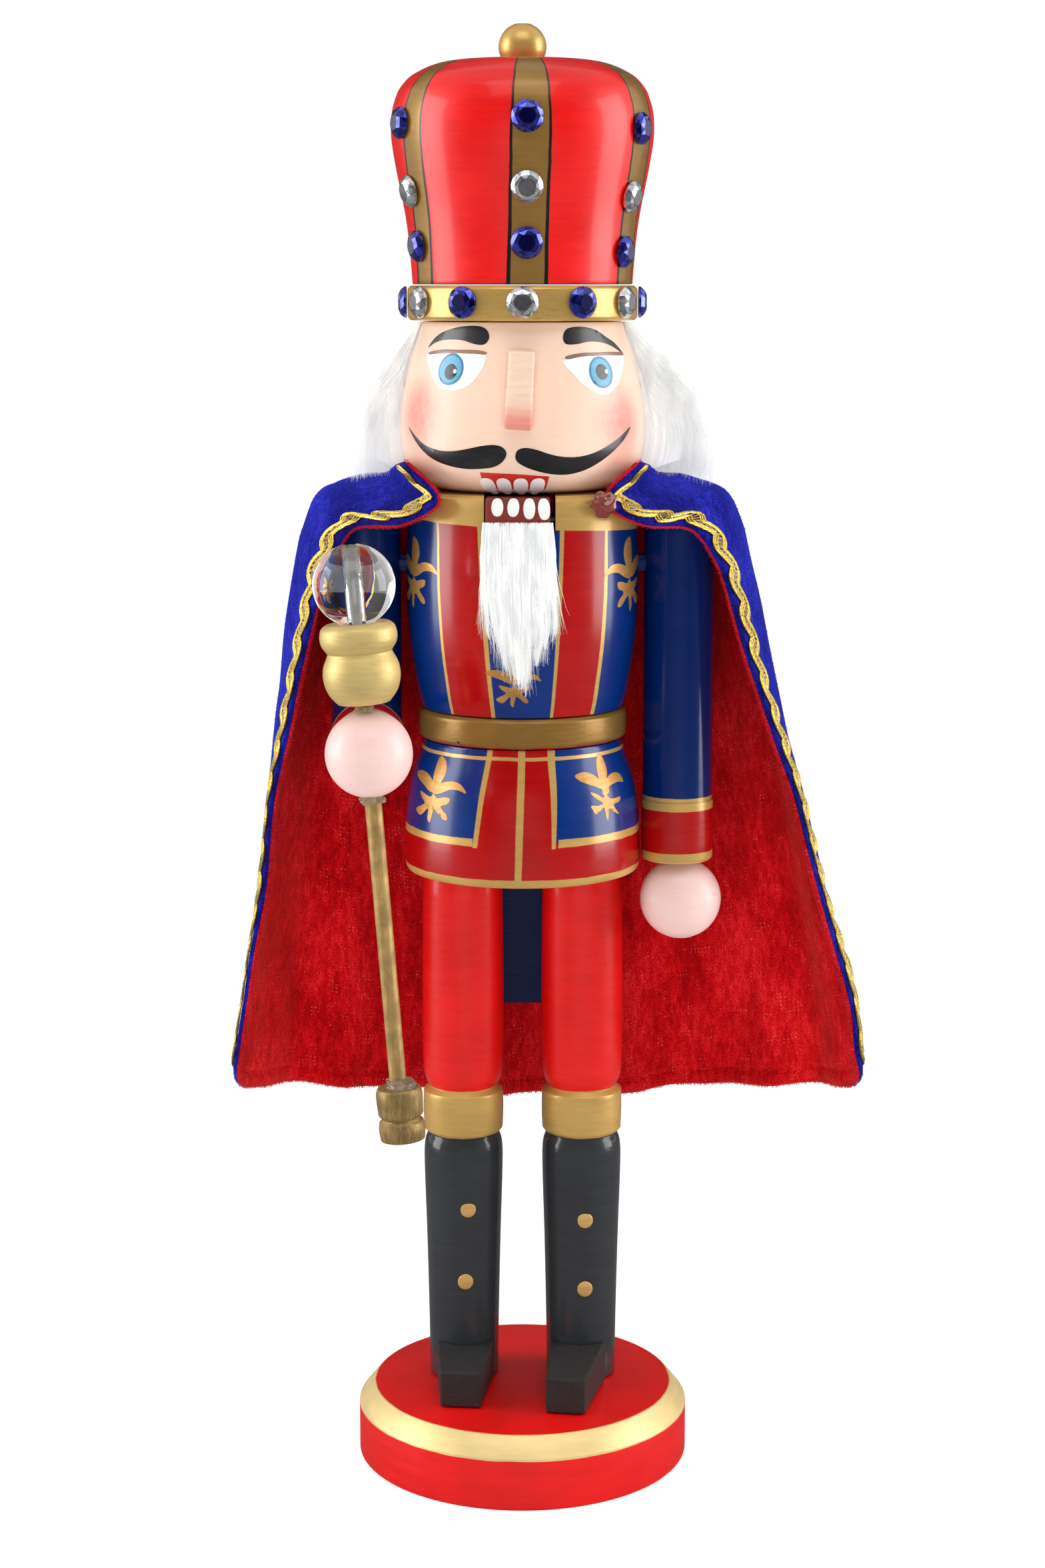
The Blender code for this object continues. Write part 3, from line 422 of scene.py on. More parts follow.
def gold_where(mask_maker, tone=GOLD, rough=0.34):
    """A layer of gold paint inside a mask."""
    return lambda tree: (mask_maker(tree), tone, 0.4, rough)


def colour_where(mask_maker, colour, rough=0.3):
    """A layer of plain paint inside a mask."""
    return lambda tree: (mask_maker(tree), colour, 0.0, rough)


def height_between(low, high, waver=0.3):
    """A mask between two heights in millimetres."""
    return lambda tree: between(tree, use(tree, place_group)["Height"], low, high, waver)

print("palette ready")

# %% Finishes of the plain turned pieces
red_paint = layered_paint("red satin paint", [coat_of(RED, rough=0.32)])
navy_paint = layered_paint("navy gloss paint", [coat_of(NAVY, rough=0.22)], coat=0.3)
gold_paint = layered_paint("gold paint", [coat_of(GOLD, 0.5, 0.34)], rings=1200.0, depth=0.00005)
hand_paint = layered_paint("pink hand paint", [coat_of(PINK_SKIN, rough=0.36)], depth=0.00002,
                           tones=(0.95, 1.02))
print("plain paints:", red_paint.name, "|", navy_paint.name, "|", gold_paint.name)

# %% [markdown]
# ## Turning the pieces again, finely
#
# The frame's turned pieces have few facets. Their outlines are right, so this cell reads an outline back
# from a frame piece, draws a smooth curve through it wherever it isn't a sharp corner, and spins it once
# more with many steps. A narrow bevel then softens the sharp corners, as sanding and paint do.

# %% Read an outline from the frame and smooth it
def outline_of(node, place=Matrix(), low=-1.0, high=1.0, least=13, narrowest=0.0):
    """The (radius, height) pairs of a turned frame piece between two heights on its own axis.

    Rings narrower than the narrowest are the walls of drilled holes, and are left out.
    """
    to_axis = place.inverted()
    rings = {}
    for vert in frame["nodes"][node].data.vertices:
        x, y, z = to_axis @ vert.co
        key = (round(math.hypot(x, y) * 1e5), round(z * 1e5))
        rings.setdefault(key, set()).add(round(math.degrees(math.atan2(y, x))))
    widest = {}
    for (radius, height), angles in rings.items():
        wanted = low <= height / 1e5 <= high and radius / 1e5 >= narrowest
        if len(angles) >= least and wanted:
            widest[height] = max(radius, widest.get(height, 0))
    return [(widest[height] / 1e5, height / 1e5) for height in sorted(widest)]


def smooth_outline(outline, steps=4, sharp=38):
    """Curve through an outline's points, except at corners sharper than the given angle."""
    points = [Vector((radius, height)) for radius, height in outline]
    corners = [0]
    for index in range(1, len(points) - 1):
        bend = (points[index] - points[index - 1]).angle(points[index + 1] - points[index])
        if math.degrees(bend) > sharp:
            corners.append(index)
    corners.append(len(points) - 1)
    drawn = []
    for first, last in zip(corners, corners[1:]):
        run = points[first:last + 1]
        run = [2 * run[0] - run[1], *run, 2 * run[-1] - run[-2]]
        for before, start, end, after in zip(run, run[1:], run[2:], run[3:]):
            pieces = steps if last - first > 1 else 1
            for step in range(pieces):
                t = step / pieces
                drawn.append(0.5 * (2 * start + (end - before) * t
                                    + (2 * before - 5 * start + 4 * end - after) * t * t
                                    + (3 * start - before - 3 * end + after) * t ** 3))
    return [tuple(point) for point in drawn] + [tuple(points[-1])]


def radius_at(outline, height):
    """The radius of an outline at a height."""
    for (low_radius, low), (high_radius, high) in zip(outline, outline[1:]):
        if low <= height <= high and high > low:
            return low_radius + (high_radius - low_radius) * (height - low) / (high - low)
    return outline[0][0] if height < outline[0][1] else outline[-1][0]

print("head outline has", len(outline_of("head")), "rings")

# %% Spin an outline into a finished piece
def finish_piece(name, bm, material, body="figure", stands_for=(), sharp=32, slot=None, close=True):
    """Turn a bmesh into a piece of the figure that rides on a body."""
    if close:
        bmesh.ops.recalc_face_normals(bm, faces=bm.faces)
    mesh = bpy.data.meshes.new(name)
    bm.to_mesh(mesh)
    bm.free()
    mesh.shade_smooth()
    mesh.set_sharp_from_angle(angle=math.radians(sharp))
    for entry in material if isinstance(material, (list, tuple)) else [material]:
        mesh.materials.append(entry)
    piece = bpy.data.objects.new(name, mesh)
    scene.collection.objects.link(piece)
    if body:
        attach(piece, body)
    if stands_for:
        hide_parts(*stands_for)
    return piece


def spin_outline(outline, sides=112, soften=0.00025, hollow=False):
    """Spin an outline about Z, close it at the axis and soften its sharp rings."""
    bm = bmesh.new()
    path = list(outline) if hollow else [(0.0, outline[0][1]), *outline, (0.0, outline[-1][1])]
    verts = [bm.verts.new((radius, 0, height)) for radius, height in path]
    edges = [bm.edges.new(pair) for pair in zip(verts, verts[1:])]
    if hollow:
        edges.append(bm.edges.new((verts[-1], verts[0])))
    bmesh.ops.spin(bm, geom=verts + edges, cent=(0, 0, 0), axis=(0, 0, 1), angle=2 * math.pi,
                   steps=sides, use_merge=True)
    bmesh.ops.remove_doubles(bm, verts=bm.verts, dist=1e-6)
    bmesh.ops.recalc_face_normals(bm, faces=bm.faces)
    if soften:
        sharp = [edge for edge in bm.edges
                 if len(edge.link_faces) == 2 and edge.calc_face_angle(0) > math.radians(38)]
        bmesh.ops.bevel(bm, geom=sharp, offset=soften, segments=2, profile=0.5, affect="EDGES",
                        material=-1)
    return bm


def turned(name, node, material, place=Matrix(), low=-1.0, high=1.0, steps=4, least=13, narrowest=0.0,
           **finish):
    """Turn a frame piece again, finely, and let it stand for the frame's own."""
    outline = smooth_outline(outline_of(node, place, low, high, least, narrowest), steps)
    bm = spin_outline(outline)
    bmesh.ops.transform(bm, matrix=place, verts=bm.verts)
    record_slot = next(part["material_slot"] for part in frame["record"]["subparts"]
                       if part["node"] == node)
    piece = finish_piece(name, bm, material, stands_for=[node], slot=record_slot, **finish)
    print(f"{name}: {len(outline)} rings, {len(piece.data.polygons)} faces")
    return piece, outline

# %% [markdown]
# ## Body, head and limbs
#
# One turned blank is one piece of wood, so it's also one piece here, and its paint is layered as the
# painter laid it: ground colour first, then panels, then gold lines over the joins. A panel's border runs
# down the figure at a direction that changes slowly with height, so each border is a straight line in a
# chart of degrees against millimetres.

# %% Borders that lean, and the layers of the tunic
def leaning(tree, low_height, low_degrees, high_height, high_degrees, **axis):
    """How far a point lies, in degrees, to the left of a border that leans with height."""
    spot = use(tree, place_group, **axis)
    border = add(tree, "MapRange", {"Value": spot["Height"], "From Min": low_height,
                                    "From Max": high_height, "To Min": low_degrees,
                                    "To Max": high_degrees}, clamp=False).outputs[0]
    return calc(tree, "SUBTRACT", spot["Degrees"], border)


def stripe(first, second, waver=0.5, softness=0.25):
    """A mask between two leaning borders, each given as (low z, degrees, high z, degrees)."""
    def mask(tree):
        start = above(tree, leaning(tree, *first), 0.0, waver, softness)
        stop = above(tree, leaning(tree, *second), 0.0, waver, softness)
        return calc(tree, "MULTIPLY", start, calc(tree, "SUBTRACT", 1.0, stop))
    return mask


def both(first, second):
    """A mask where two masks agree."""
    return lambda tree: calc(tree, "MULTIPLY", first(tree), second(tree))


def either(*masks):
    """A mask wherever any of several masks is."""
    def mask(tree):
        total = masks[0](tree)
        for other in masks[1:]:
            total = calc(tree, "MAXIMUM", total, other(tree))
        return total
    return mask


TUNIC_LINES = (
    ((206, -43.4, 256, -46.4), (206, -41.3, 256, -45.0)),
    ((207, -17.3, 256, -22.3), (207, -15.1, 256, -19.6)),
    ((207, 15.2, 254, 18.2), (207, 16.9, 254, 20.4)),
    ((207, 40.7, 254, 44.2), (207, 43.6, 254, 46.2)),
)


def collar_mask(tree):
    """The gold collar, whose lower border dips towards the figure's left."""
    spot = use(tree, place_group)
    lifted = calc(tree, "ADD", spot["Height"], calc(tree, "MULTIPLY", spot["Degrees"], 0.022))
    return above(tree, lifted, 255.1, 0.5, 0.2)


torso_paint = layered_paint("tunic paint", [
    coat_of(ROYAL, rough=0.22),
    colour_where(stripe(TUNIC_LINES[0][1], TUNIC_LINES[1][0]), DEEP_RED, 0.22),
    colour_where(stripe(TUNIC_LINES[2][1], TUNIC_LINES[3][0]), DEEP_RED, 0.22),
    *[gold_where(stripe(*line)) for line in TUNIC_LINES],
    gold_where(collar_mask),
], coat=0.3)

# %% The skirt's panels, lines and rim
SKIRT_LINES = (
    ((174, -24.3, 196, -20.4), (174, -21.9, 196, -17.3)),
    ((165, -3.8, 196, -2.4), (165, -0.6, 196, 1.5)),
    ((174, 14.0, 196, 14.0), (174, 16.0, 196, 18.2)),
)


def side_panel(tree):
    """Outside the two side lines."""
    left = calc(tree, "SUBTRACT", 1.0, above(tree, leaning(tree, 174, -23, 196, -19), 0.0, 0.5, 0.25))
    return calc(tree, "MAXIMUM", left, above(tree, leaning(tree, 174, 15, 196, 16), 0.0, 0.5, 0.25))


def panel_foot(tree):
    """The gold line under each side panel, with a rounded end towards the middle."""
    spot = use(tree, place_group)
    line = between(tree, spot["Height"], 173.7, 175.7, 0.7, 0.2)
    out = calc(tree, "SUBTRACT", calc(tree, "ABSOLUTE", calc(tree, "ADD", spot["Degrees"], 3.5)), 21.0)
    return calc(tree, "MULTIPLY", line, above(tree, out, 0.0, 1.5, 0.6))


def above_foot(tree):
    """Higher than the foot of the side panels."""
    return above(tree, use(tree, place_group)["Height"], 174.8, 0.4, 0.15)


skirt_paint = layered_paint("skirt paint", [
    coat_of(DEEP_RED, rough=0.22),
    colour_where(both(side_panel, above_foot), ROYAL, 0.22),
    *[gold_where(both(stripe(*line), height_between(173.4, 300))) for line in SKIRT_LINES[::2]],
    gold_where(stripe(*SKIRT_LINES[1])),
    gold_where(panel_foot),
    gold_where(height_between(195.6, 196.5, 0.5)),
    gold_where(height_between(100, 165.3, 0.6)),
], chips=0.09, chip_scale=420.0, coat=0.3)

belt_paint = layered_paint("belt paint", [
    coat_of(DARK_GOLD, 0.45, 0.36),
    colour_where(height_between(100, 198.9, 1.1), DEEP_RED),
    colour_where(lambda tree: calc(tree, "MULTIPLY", use(tree, chip_group, Amount=0.42, Scale=260.0)["Bare"],
                                   height_between(100, 200.0, 0.8)(tree)), NAVY),
], rings=1500.0, depth=0.00009)
print("tunic paints ready")

# %% [markdown]
# The lever runs in a saw cut down the back and through the jaw. The cut is made here as it was in the
# wood: a plate with the cut's side view is taken out of the finely turned blanks with a boolean, and the
# plate is thrown away afterwards.

# %% Cut the lever's groove
SLOT_LOW, SLOT_HIGH = -0.0097, 0.0083
GROOVE_SIDE = [(-0.06, 0.2320), (0.0050, 0.2320), (0.0135, 0.2230), (0.0180, 0.2050), (0.0223, 0.1650),
               (0.0228, 0.1500), (0.06, 0.1500), (0.06, 0.2732), (-0.06, 0.2732)]


def cut_groove(piece):
    """Saw the lever's groove out of a piece and keep the result as plain mesh."""
    bm = bmesh.new()
    face = bm.faces.new([bm.verts.new((SLOT_LOW, y, z)) for y, z in GROOVE_SIDE])
    grown = bmesh.ops.extrude_face_region(bm, geom=[face])["geom"]
    bmesh.ops.translate(bm, vec=(SLOT_HIGH - SLOT_LOW, 0, 0),
                        verts=[item for item in grown if isinstance(item, bmesh.types.BMVert)])
    bmesh.ops.recalc_face_normals(bm, faces=bm.faces)
    mesh = bpy.data.meshes.new("groove")
    bm.to_mesh(mesh)
    bm.free()
    cutter = bpy.data.objects.new("groove", mesh)
    scene.collection.objects.link(cutter)
    saw = piece.modifiers.new("saw", "BOOLEAN")
    saw.operation = "DIFFERENCE"
    saw.solver = "EXACT"
    saw.object = cutter
    sawn = bpy.data.meshes.new_from_object(piece.evaluated_get(bpy.context.evaluated_depsgraph_get()))
    piece.modifiers.clear()
    sawn.set_sharp_from_angle(angle=math.radians(32))
    piece.data = sawn
    bpy.data.objects.remove(cutter)


torso, TORSO_SIDE = turned("tunic_torso", "torso", torso_paint)
skirt, SKIRT_SIDE = turned("tunic_skirt_piece", "tunic_skirt", skirt_paint)
belt, _ = turned("tunic_belt", "belt", belt_paint)
for piece in (torso, skirt, belt):
    cut_groove(piece)

# %% The head, with its rosy cheeks
CHEEK_RADIUS = 0.0316


def cheek(tree, degrees, height, size):
    """A soft round blush centred on the head's surface."""
    angle = math.radians(degrees)
    centre = (CHEEK_RADIUS * math.sin(angle), -CHEEK_RADIUS * math.cos(angle), height)
    spot = object_spot(tree)
    away = add(tree, "VectorMath", {0: spot, 1: centre}, operation="DISTANCE").outputs["Value"]
    spread = ramp(tree, away, size, size * 0.15)
    grain = ramp(tree, specks(tree, spot, 420.0, 3.0), 0.25, 0.7, 0.75, 1.0)
    return calc(tree, "MULTIPLY", spread, grain)


head_paint = layered_paint("face paint", [
    coat_of(SKIN, rough=0.34),
    colour_where(lambda tree: calc(tree, "MULTIPLY", cheek(tree, -58, 0.2835, 0.013), 0.75), BLUSH),
    colour_where(lambda tree: calc(tree, "MULTIPLY", cheek(tree, 52, 0.2812, 0.013), 0.75), BLUSH),
], depth=0.00002, tones=(0.96, 1.02))
_, HEAD_SIDE = turned("head_turned", "head", head_paint)

# %% The crown: red, six gold ribs with black outlines
RIBS = (
    ((316, -6.1, 370, -3.0), (316, 11.0, 370, 11.2)),
    ((316, -68.0, 370, -59.0), (316, -54.5, 370, -47.5)),
    ((316, 59.0, 370, 55.5), (316, 77.0, 370, 71.5)),
    ((316, 112.0, 370, 114.5), (316, 129.0, 370, 127.0)),
    ((316, -130.0, 370, -128.0), (316, -113.0, 370, -115.0)),
)


def grown_stripe(line, low_by, high_by):
    """A stripe widened at each side, by some degrees at its foot and by others at its top."""
    (a, b, c, d), (e, f, g, h) = line
    return stripe((a, b - low_by, c, d - high_by), (e, f + low_by, g, h + high_by), 0.9, 0.3)


def back_rib(by):
    """The rib at the back, where the direction jumps from 180 to -180 degrees."""
    def mask(tree):
        turned_away = calc(tree, "SUBTRACT", 180.0,
                           calc(tree, "ABSOLUTE", use(tree, place_group)["Degrees"]))
        return calc(tree, "SUBTRACT", 1.0, above(tree, turned_away, 7.4 + by, 0.9, 0.3))
    return mask


crown_paint = layered_paint("crown paint", [
    coat_of(RED, rough=0.34),
    colour_where(either(*[grown_stripe(rib, 2.1, 0.8) for rib in RIBS], back_rib(1.5)), BLACK, 0.3),
    gold_where(either(*[grown_stripe(rib, 0.0, 0.0) for rib in RIBS], back_rib(0.0)), DARK_GOLD, 0.32),
], coat=0.3, depth=0.00004)
_, CROWN_SIDE = turned("crown_turned", "crown", crown_paint)
band_paint = layered_paint("band gold", [coat_of(GOLD, 0.5, 0.3)], rings=1500.0, depth=0.00007)
turned("crown_band_turned", "crown_band", band_paint)
turned("crown_knob", "crown_finial", gold_paint, low=0.3718, least=11)

# %% Legs with boots and knee bands
def leg_layers(tone=GOLD):
    """Black boot, gold band, red trousers. The boot's black is lifted to grey, a painted reflection of the
    pale floor in its gloss.
    """
    return [coat_of(RED, rough=0.36),
            # The boot's grey is a painted reflection: glossy black lifted to the grey it shows where it
            # mirrors the floor.
            colour_where(height_between(0, 95, 0.4), swatch(50, 52, 55), 0.16),
            gold_where(height_between(88.6, 101.6, 0.7), tone, 0.36)]


leg_paint = layered_paint("leg paint", leg_layers(), chips=0.03, depth=0.00009, coat=0.25)
LEG_X, LEG_Y = 0.0161, 0.0055
for name, side in (("right", -1), ("left", 1)):
    turned(f"{name}_leg_turned", f"{name}_leg", leg_paint, Matrix.Translation((side * LEG_X, LEG_Y, 0)),
           low=0.0191, high=0.1632)

# %% The base: red drum, gold bevel, red top
def bevel_mask(tree):
    """The sloping ring between the wall and the top of the base."""
    spot = use(tree, place_group)
    return calc(tree, "MULTIPLY", above(tree, spot["Height"], 13.7, 0.5, 0.15),
                above(tree, spot["Radius"], 40.3, 0.5, 0.15))


base_paint = layered_paint("base paint", [
    coat_of(RED, rough=0.4),
    gold_where(bevel_mask, swatch(240, 214, 150), 0.46),
], chips=0.05, chip_scale=500.0, rings=500.0, depth=0.00008, coat=0.08)
turned("base_turned", "base_disc", base_paint)

# %% [markdown]
# ## Arms, hands and sceptre
#
# Both sleeves carry the same paint, measured from the wrist up: gold ring, red cuff, gold ring, navy
# sleeve. The left arm hangs along Z, but the right forearm points forward, so its paint measures distance
# along its own direction instead of height.

# %% Where the arms, hands and sceptre lie
ARM_X = 0.0411
ELBOW = Vector((-ARM_X, 0, 0.2020))
LEFT_HAND = Vector((0.0422, 0, 0.1542))
RIGHT_HAND = Vector((-0.0376, -0.0570, 0.2025))
FORWARD = (RIGHT_HAND - ELBOW).normalized()
WRIST = (RIGHT_HAND - ELBOW).length - 0.0108 + 0.0008
forearm_place = Matrix.Translation(ELBOW) @ FORWARD.to_track_quat("Z", "Y").to_matrix().to_4x4()
hand_place = Matrix.Translation(RIGHT_HAND) @ FORWARD.to_track_quat("Z", "Y").to_matrix().to_4x4()
sceptre_place = Matrix.Translation(RIGHT_HAND) @ Matrix.Rotation(math.radians(-4.5), 4, "Y")


def height_above_wrist(tree):
    """Millimetres up the hanging left arm from its wrist."""
    return calc(tree, "SUBTRACT", use(tree, place_group)["Height"], 165.0)


def distance_from_wrist(tree):
    """Millimetres back along the right forearm from its wrist."""
    start = ELBOW + FORWARD * WRIST
    back = add(tree, "VectorMath", {0: object_spot(tree), 1: tuple(start)},
               operation="SUBTRACT").outputs[0]
    along = add(tree, "VectorMath", {0: back, 1: tuple(-FORWARD / MM)}, operation="DOT_PRODUCT")
    return along.outputs["Value"]


def sleeve_paint(name, measure, capped):
    """Navy sleeve with its gold-edged red cuff, and a gold shoulder where it has one."""
    layers = [coat_of(NAVY, rough=0.2),
              gold_where(lambda tree: between(tree, measure(tree), -5, 17.6, 0.5)),
              colour_where(lambda tree: between(tree, measure(tree), 2.9, 14.2, 0.5), DEEP_RED, 0.25)]
    if capped:
        layers.append(gold_where(height_between(254.3, 300, 1.0)))
    return layered_paint(name, layers, coat=0.35)


shoulder_paint = layered_paint("upper sleeve paint", [coat_of(NAVY, rough=0.2),
                                                      gold_where(height_between(254.3, 300, 1.0))], coat=0.35)
turned("left_arm_turned", "left_arm", sleeve_paint("left sleeve paint", height_above_wrist, True),
       Matrix.Translation((ARM_X, 0, 0)))
turned("right_upper_arm_turned", "right_upper_arm", shoulder_paint, Matrix.Translation((-ARM_X, 0, 0)))
turned("right_forearm_turned", "right_forearm",
       sleeve_paint("right sleeve paint", distance_from_wrist, False), forearm_place)
turned("left_hand_turned", "left_hand", hand_paint, Matrix.Translation(LEFT_HAND), least=10)
turned("right_hand_turned", "right_hand", hand_paint, hand_place, least=10)

# %% [markdown]
# The sceptre's cup is painted gold, while the stick and its foot are only gilded: the wood's grain shows
# through a thin, dull gold. The grain is noise that is stretched along the stick.

# %% Gilded bare wood
def gilded_wood(name, light, dark, direction):
    """Thin gold on bare wood, with the grain along a direction."""
    material, tree, shader = new_finish(name, Coat_Weight=0.15, Coat_Roughness=0.3)
    spot = object_spot(tree)
    turn = direction.to_track_quat("Z", "Y").inverted().to_euler()
    grain = specks(tree, add(tree, "Mapping", {"Vector": spot, "Rotation": tuple(turn),
                                               "Scale": (1.0, 1.0, 0.05)}).outputs[0], 2200.0, 4.0, 0.6)
    cloud = specks(tree, spot, 260.0, 3.0)
    colour = mix(tree, ramp(tree, grain, 0.35, 0.65), dark, light)
    put(tree, shader.inputs["Base Color"], shaded(tree, colour, ramp(tree, cloud, 0.3, 0.7, 0.7, 1.1)))
    put(tree, shader.inputs["Metallic"], ramp(tree, grain, 0.3, 0.7, 0.4, 0.6))
    put(tree, shader.inputs["Roughness"], ramp(tree, grain, 0.3, 0.7, 0.56, 0.46))
    relief(tree, shader, grain, 0.00006)
    return material


STICK_DIRECTION = sceptre_place.to_3x3() @ Vector((0, 0, 1))
stick_wood = gilded_wood("gilded stick", swatch(206, 170, 108), swatch(176, 140, 84), STICK_DIRECTION)
foot_wood = gilded_wood("gilded foot", swatch(176, 148, 92), swatch(136, 108, 60), Vector((1, 0, 0)))
cup_gold = layered_paint("cup gold", [coat_of(swatch(222, 194, 126), 0.45, 0.5)], rings=1300.0, depth=0.00012)
turned("sceptre_cup_turned", "sceptre_cup", cup_gold, sceptre_place, low=0.0108, least=11, narrowest=0.0058)
turned("sceptre_foot_turned", "sceptre_ferrule", foot_wood, sceptre_place, least=11, narrowest=0.0045)
rod_bm = bmesh.new()
bmesh.ops.create_cone(rod_bm, cap_ends=True, segments=32, radius1=0.0021, radius2=0.0021, depth=0.1146,
                      matrix=sceptre_place @ Matrix.Translation((0, 0, -0.0352)))
finish_piece("sceptre_stick", rod_bm, stick_wood, stands_for=["sceptre_rod"], slot="gilded_raw_wood")

# %% [markdown]
# The bead on top is clear acrylic, drilled through. The drill leaves the hole's wall frosted, and that
# pale, streaky tube is what the eye finds inside the ball. So the bead is glass-like, and the hole's
# wall is a thin sleeve of its own with a rough white finish.

# %% The clear bead and its frosted hole
acrylic, tree, shader = new_finish("clear acrylic", Transmission_Weight=1.0, IOR=1.49, Roughness=0.02)
shader.inputs["Base Color"].default_value = (0.97, 0.98, 0.98, 1)
spot = object_spot(tree)
relief(tree, shader, specks(tree, spot, 240.0, 2.0), 0.00002)

ORB_CENTRE, ORB_RADIUS = 0.0415, 0.0101
turned_angles = [math.radians(-80.9 + 161.8 * step / 40) for step in range(41)]
orb_side = [(ORB_RADIUS * math.cos(angle), ORB_CENTRE + ORB_RADIUS * math.sin(angle))
            for angle in turned_angles]
orb_bm = spin_outline(orb_side, sides=96, soften=0.0, hollow=True)
bmesh.ops.transform(orb_bm, matrix=sceptre_place, verts=orb_bm.verts)
finish_piece("sceptre_bead", orb_bm, acrylic, stands_for=["sceptre_orb"], slot="clear_acrylic", sharp=50)

frost, tree, shader = new_finish("frosted drill hole", Transmission_Weight=0.75, IOR=1.3)
spot = object_spot(tree)
along_bore = add(tree, "Mapping", {"Vector": spot, "Scale": (1.0, 1.0, 0.2)}).outputs[0]
streaks = specks(tree, along_bore, 1400.0, 3.0)
put(tree, shader.inputs["Base Color"], mix(tree, streaks, swatch(255, 255, 254), swatch(222, 222, 218)))
put(tree, shader.inputs["Roughness"], ramp(tree, streaks, 0.3, 0.7, 0.25, 0.6))
relief(tree, shader, streaks, 0.0001)
sleeve_bm = bmesh.new()
reach = ORB_RADIUS * 0.96
bmesh.ops.create_cone(sleeve_bm, cap_ends=False, segments=24, radius1=0.0014, radius2=0.0016,
                      depth=2 * reach, matrix=Matrix.Translation((0, 0, ORB_CENTRE)))
bmesh.ops.subdivide_edges(sleeve_bm, edges=[edge for edge in sleeve_bm.edges if edge.calc_length() > 0.01],
                          cuts=18, use_grid_fill=True)
for vert in sleeve_bm.verts:
    towards_end = abs(vert.co.z - ORB_CENTRE) / ORB_RADIUS * 0.6
    vert.co.xy *= 1.0 + 0.35 * noise.noise(vert.co * 900) * (1 - towards_end)
bmesh.ops.solidify(sleeve_bm, geom=sleeve_bm.faces[:], thickness=0.0002)
bmesh.ops.transform(sleeve_bm, matrix=sceptre_place, verts=sleeve_bm.verts)
finish_piece("sceptre_bead_hole", sleeve_bm, frost, slot="clear_acrylic", sharp=60)

# %% [markdown]
# ## Drops of glue
#
# Handmade pieces show their glue: a clear drop where the stick enters its foot, a squeeze of it under the
# hand, and a brown shiny blob by the collar. Each is a small ball pushed about by noise.

# %% Glue drops
def glue_drop(name, centre, size, material, wobble=0.25, seed=0.0):
    """A lumpy drop of set glue, given its half sizes."""
    bm = bmesh.new()
    bmesh.ops.create_icosphere(bm, subdivisions=4, radius=1.0)
    for vert in bm.verts:
        vert.co *= 1.0 + wobble * noise.noise(vert.co * 1.7 + Vector((seed, 0, 0)))
    bmesh.ops.scale(bm, vec=size, verts=bm.verts)
    bmesh.ops.translate(bm, vec=centre, verts=bm.verts)
    return finish_piece(name, bm, material, sharp=80)


clear_glue, tree, shader = new_finish("clear glue", Transmission_Weight=0.9, IOR=1.47)
spot = object_spot(tree)
put(tree, shader.inputs["Base Color"], mix(tree, specks(tree, spot, 700.0), swatch(255, 252, 244),
                                           swatch(232, 222, 200)))
put(tree, shader.inputs["Roughness"], ramp(tree, specks(tree, spot, 900.0), 0.3, 0.7, 0.05, 0.2))
brown_glue, tree, shader = new_finish("brown glue", Coat_Weight=1.0, Coat_Roughness=0.04)
spot = object_spot(tree)
put(tree, shader.inputs["Base Color"], mix(tree, specks(tree, spot, 500.0), swatch(104, 40, 36),
                                           swatch(150, 70, 60)))
put(tree, shader.inputs["Roughness"], ramp(tree, specks(tree, spot, 800.0), 0.3, 0.7, 0.12, 0.3))

on_foot = sceptre_place @ Vector((0.0005, -0.0004, -0.0838))
glue_drop("foot_glue", on_foot, (0.0042, 0.0040, 0.0017), clear_glue, 0.3, 3.0)
under_hand = sceptre_place @ Vector((0.0, -0.0006, -0.0110))
glue_drop("hand_glue", under_hand, (0.0030, 0.0028, 0.0016), clear_glue, 0.5, 9.0)
glue_drop("collar_glue", (0.0208, -0.0262, 0.2612), (0.0032, 0.0022, 0.0030), brown_glue, 0.45, 5.0)
on_cup = sceptre_place @ Vector((0.0, -0.0016, 0.0112))
glue_drop("cup_glue", on_cup, (0.0026, 0.0022, 0.0011), clear_glue, 0.4, 6.0)
print("glue drops placed")

# %% [markdown]
# ## Painted details
#
# Eyes, brows, moustache, mouth and lilies are drawn with a fine brush on curved wood. Each is made here
# as a film of paint: an outline in degrees and millimetres becomes one flat face, cuts along a fine grid
# let it bend, and every point is lifted onto the turned surface, just above it, with the rim set a little
# lower. That keeps each edge as crisp as the brush left it, from any distance.

# %% Films of paint on a turned surface
def drawn_round(outline, steps=4):
    """A closed smooth curve through an outline's points."""
    count = len(outline)
    drawn = []
    for index in range(count):
        before, start, end, after = (Vector(outline[(index + shift) % count]) for shift in (-1, 0, 1, 2))
        for step in range(steps):
            t = step / steps
            drawn.append(0.5 * (2 * start + (end - before) * t
                                + (2 * before - 5 * start + 4 * end - after) * t * t
                                + (3 * start - before - 3 * end + after) * t ** 3))
    return drawn


